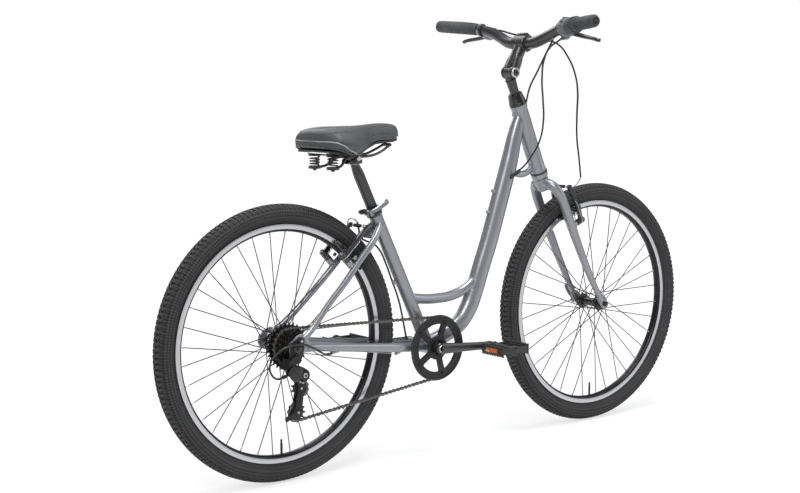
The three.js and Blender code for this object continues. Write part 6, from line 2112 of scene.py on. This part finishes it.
class BICYCLE_OT_cables(Operator):
    """Models the cable housings with their ferrules, the bent pipes, boots and inner wires"""

    bl_idname = "bicycle.cables"
    bl_label = "Cables"

    def execute(self, context):
        front = [at_head(place) for place in FRONT_CABLE_ROUTE]
        housing = tube(front, HOUSING_RADIUS, around=5, along=10)
        finished(
            housing, "front_brake_housing", "fork", "housing", stands_for=("front_brake_cable",),
        )
        self.bend(housing, "fork", "cockpit", front[4], front[0])
        rear = tube(REAR_CABLE_ROUTE, HOUSING_RADIUS, around=5, along=10)
        finished(
            rear, "rear_brake_cable_housing", "frame", "housing",
            stands_for=("rear_brake_housing",),
        )
        self.make_pipe("front", "fork", 1, [
            at_head((88, -66, -44)), at_head((78, -62, -54.5)), at_head((68, -55, -63)),
        ])
        self.make_pipe("rear", "frame", -1, [(-274, 36, 627), (-276.4, 47, 634), (-283, 54, 636.6)])
        routes = (
            ("shift_housing", [*self.shift_ends(), *SHIFT_ROUTE], 985),
            ("rear_brake_front_housing", BRAKE_ROUTE, 972),
        )
        for node, route, level in routes:
            upper = tube(route, HOUSING_RADIUS, around=5, along=10)
            pick(upper)
            bpy.ops.object.duplicate(linked=False)
            lower = bpy.context.object
            cut_level(upper, level, True)
            cut_level(lower, level, False)
            middle = min(route, key=lambda place: abs(place[2] - level))
            finished(upper, node + "_upper", "cockpit", "housing", stands_for=(node,))
            finished(lower, node + "_lower", "frame", "housing", stands_for=(node,))
            self.bend(upper, "fork", "cockpit", middle, route[0])
            self.bend(lower, "frame", "fork", route[-1], middle)
        loop_housing = tube(LOOP_ROUTE, HOUSING_RADIUS, around=5, along=10)
        finished(
            loop_housing, "derailleur_loop_housing", "frame", "housing",
            stands_for=("derailleur_housing",),
        )
        ferrules = [
            rod((-428, -59.2, 316.8), (-440, -62.6, 318.2), 3.2, 20, 0.5),
            rod((-600, -86.8, 279.9), (-590, -86, 282), 3.2, 20, 0.5),
            rod((-144, 2, 322), (-142.6, 2, 312), 3.2, 20, 0.5),
        ]
        finished(ferrules, "housing_ferrules", "frame", "anodised")
        wire = rod((-400, -55.5, 321.5), (-212, -42.8, 288.7), 0.8, 8, 0)
        finished(wire, "chainstay_inner_wire", "frame", "inner_wire")
        short = rod((-574, -85.5, 285.6), (-552, -92, 300), 0.8, 8, 0)
        finished(short, "derailleur_inner_wire", "frame", "inner_wire")
        return {"FINISHED"}

    def shift_ends(self):
        """The first two places of the shift housing, at the shifter's spout."""
        local = Vector(SHIFTER_SPOT) + Vector((1, 34, -33))
        return [at_head(local + Vector(step)) for step in ((0, 1, 0), (1, 12, -5))]

    def bend(self, piece, first, second, start, end):
        piece.parent = None
        metres(start)
        metres(end)
        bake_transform(piece)

    def make_pipe(self, end, body, side, route):
        """The bent pipe, its rubber boot and the wire across to the other arm."""
        tip = [brake_place(end, 0, -side * across, ARM_TIP) for across in (46, 36, 16)]
        pipe = tube([*route, *tip], 2.1, around=4, along=8)
        finished(pipe, end + "_bent_pipe", body, "steel")
        rings = []
        for number in range(15):
            across = 18 - number * 2.1
            rings.append((4.6 if number % 2 else 3.0, -side * across))
        outline = [(0.6, rings[0][1]), *rings, (0.6, rings[-1][1])]
        middle = brake_place(end, 0, 0, ARM_TIP)
        boot = spun(outline, middle, steps=28, angle=50)
        finished(boot, end + "_cable_boot", body, "boot")
        wire = rod(
            brake_place(end, 0, side * 11, ARM_TIP), brake_place(end, 0, side * 48, ARM_TIP), 0.8,
            8, 0,
        )
        finished(wire, end + "_inner_wire", body, "inner_wire")


# Stage

FLOOR_GREY = (0.86, 0.86, 0.86)
# Each lamp's place, size in metres and power in watts
LAMPS = (
    ("key_lamp", (-3.2, -3.6, 4.4), 2.6, 165), ("fill_lamp", (3.6, -2.6, 2.6), 3.0, 45),
    ("back_lamp", (0.6, 4.2, 3.4), 3.4, 90), ("top_lamp", (0.0, -0.6, 4.6), 2.0, 150),
)
LAMP_TARGET = (0, 0, 0.5)
SURROUND_COLOUR = (0.8, 0.82, 0.86)
SURROUND_STRENGTH = 0.31
CAMERA_PLACE = (-2.5150, -3.0116, 1.0019)
CAMERA_DIP = 9.553
CAMERA_TURN = 50.597
CAMERA_LENS = 66.574
CAMERA_SHIFT = (-0.04582, 0.09529)


class BICYCLE_OT_stage(Operator):
    """Builds the pale floor, the soft studio lamps and the camera at the photograph's angle"""

    bl_idname = "bicycle.stage"
    bl_label = "Stage"

    def execute(self, context):
        pick()
        bpy.ops.mesh.primitive_plane_add(size=40, location=(0, 0, -0.0005))
        floor = settled(bpy.context.object)
        floor.name = "studio_floor"
        finish = Finish("studio_floor_white", specular_ior_level=0.1)
        finish.surface(FLOOR_GREY, 0.9)
        self.show_white(finish)
        floor.data.materials.append(finish.material)
        for name, place, size, power in LAMPS:
            pick()
            bpy.ops.object.light_add(type="AREA", location=place)
            lamp = bpy.context.object
            lamp.name = name
            lamp.data.size = size
            lamp.data.energy = power
            aim = Vector(LAMP_TARGET) - Vector(place)
            lamp.rotation_euler = aim.to_track_quat("-Z", "Y").to_euler()
        self.light_world(context.scene)
        bpy.ops.object.camera_add(
            location=CAMERA_PLACE,
            rotation=(math.radians(90 - CAMERA_DIP), 0, math.radians(CAMERA_TURN - 90)),
        )
        camera = bpy.context.object
        camera.name = "photograph_camera"
        camera.data.sensor_width = 36
        camera.data.lens = CAMERA_LENS
        camera.data.shift_x, camera.data.shift_y = CAMERA_SHIFT
        context.scene.camera = camera
        context.scene.view_settings.view_transform = "Standard"
        return {"FINISHED"}

    def show_white(self, finish):
        """Lets the camera and reflections see white, with the shadow kept near the bicycle."""
        tree = finish.tree
        path = tree.nodes.new("ShaderNodeLightPath")
        seen = Wire(tree, path.outputs["Is Camera Ray"]) + Wire(tree, path.outputs["Is Glossy Ray"])
        seen = seen + Wire(tree, path.outputs["Is Transmission Ray"])
        white = finish.node("ShaderNodeEmission", sockets={"Strength": 1.12})
        mix = tree.nodes.new("ShaderNodeMixShader")
        ahead, across, *_ = finish.about((0, 0, 0), (1, 1, 0))
        away = finish.steps((ahead * ahead + across * across) ** 0.5, 0.9, 1.7)
        join(tree, mix.inputs[0], finish.steps(seen, 0.0, 1.0) * (away * 0.4 + 0.6))
        tree.links.new(finish.shader.outputs[0], mix.inputs[1])
        tree.links.new(white.socket, mix.inputs[2])
        tree.links.new(mix.outputs[0], tree.nodes["Material Output"].inputs[0])

    def light_world(self, scene):
        """A grey surround for light, which the camera sees as white."""
        world = bpy.data.worlds.new("studio_world")
        scene.world = world
        world.use_nodes = True
        tree = world.node_tree
        surround = tree.nodes["Background"]
        seen = tree.nodes.new("ShaderNodeBackground")
        for node, colour, strength in (
            (surround, SURROUND_COLOUR, SURROUND_STRENGTH), (seen, (1.0, 1.0, 1.0), 1.0),
        ):
            node.inputs["Color"].default_value = (*colour, 1.0)
            node.inputs["Strength"].default_value = strength
        path = tree.nodes.new("ShaderNodeLightPath")
        mix = tree.nodes.new("ShaderNodeMixShader")
        tree.links.new(path.outputs["Is Camera Ray"], mix.inputs[0])
        tree.links.new(surround.outputs[0], mix.inputs[1])
        tree.links.new(seen.outputs[0], mix.inputs[2])
        tree.links.new(mix.outputs[0], tree.nodes["World Output"].inputs[0])


# Steps in order, the panel and the run

STEPS = (
    BICYCLE_OT_tyres, BICYCLE_OT_frame_tubes, BICYCLE_OT_fork, BICYCLE_OT_headset_and_stem,
    BICYCLE_OT_handlebar, BICYCLE_OT_brake_levers, BICYCLE_OT_wheels, BICYCLE_OT_saddle,
    BICYCLE_OT_seatpost, BICYCLE_OT_chain, BICYCLE_OT_cranks, BICYCLE_OT_derailleur,
    BICYCLE_OT_brakes, BICYCLE_OT_cables, BICYCLE_OT_stage,
)


class BICYCLE_PT_pieces(Panel):
    """Lists the steps that model the bicycle"""

    bl_idname = "BICYCLE_PT_pieces"
    bl_label = "Step through bicycle"
    bl_space_type = "VIEW_3D"
    bl_region_type = "UI"
    bl_category = "Bicycle"

    def draw(self, context):
        layout = self.layout
        for group in (context.scene.bicycle_colours, context.scene.bicycle_sizes):
            for name in group.bl_rna.properties.keys():
                if name not in ("rna_type", "name"):
                    layout.prop(group, name)
        for step in STEPS:
            layout.operator(step.bl_idname)


def register():
    for kind in (BicycleColours, BicycleSizes, *STEPS, BICYCLE_PT_pieces):
        bpy.utils.register_class(kind)
    bpy.types.Scene.bicycle_colours = PointerProperty(type=BicycleColours)
    bpy.types.Scene.bicycle_sizes = PointerProperty(type=BicycleSizes)


def unregister():
    del bpy.types.Scene.bicycle_sizes
    del bpy.types.Scene.bicycle_colours
    for kind in (BICYCLE_PT_pieces, *STEPS[::-1], BicycleSizes, BicycleColours):
        bpy.utils.unregister_class(kind)


def main():
    register()
    make_finishes(bpy.context.scene.bicycle_colours)
    for step in STEPS:
        getattr(bpy.ops.bicycle, step.bl_idname.split(".")[1])()


if __name__ == "__main__":
    main()
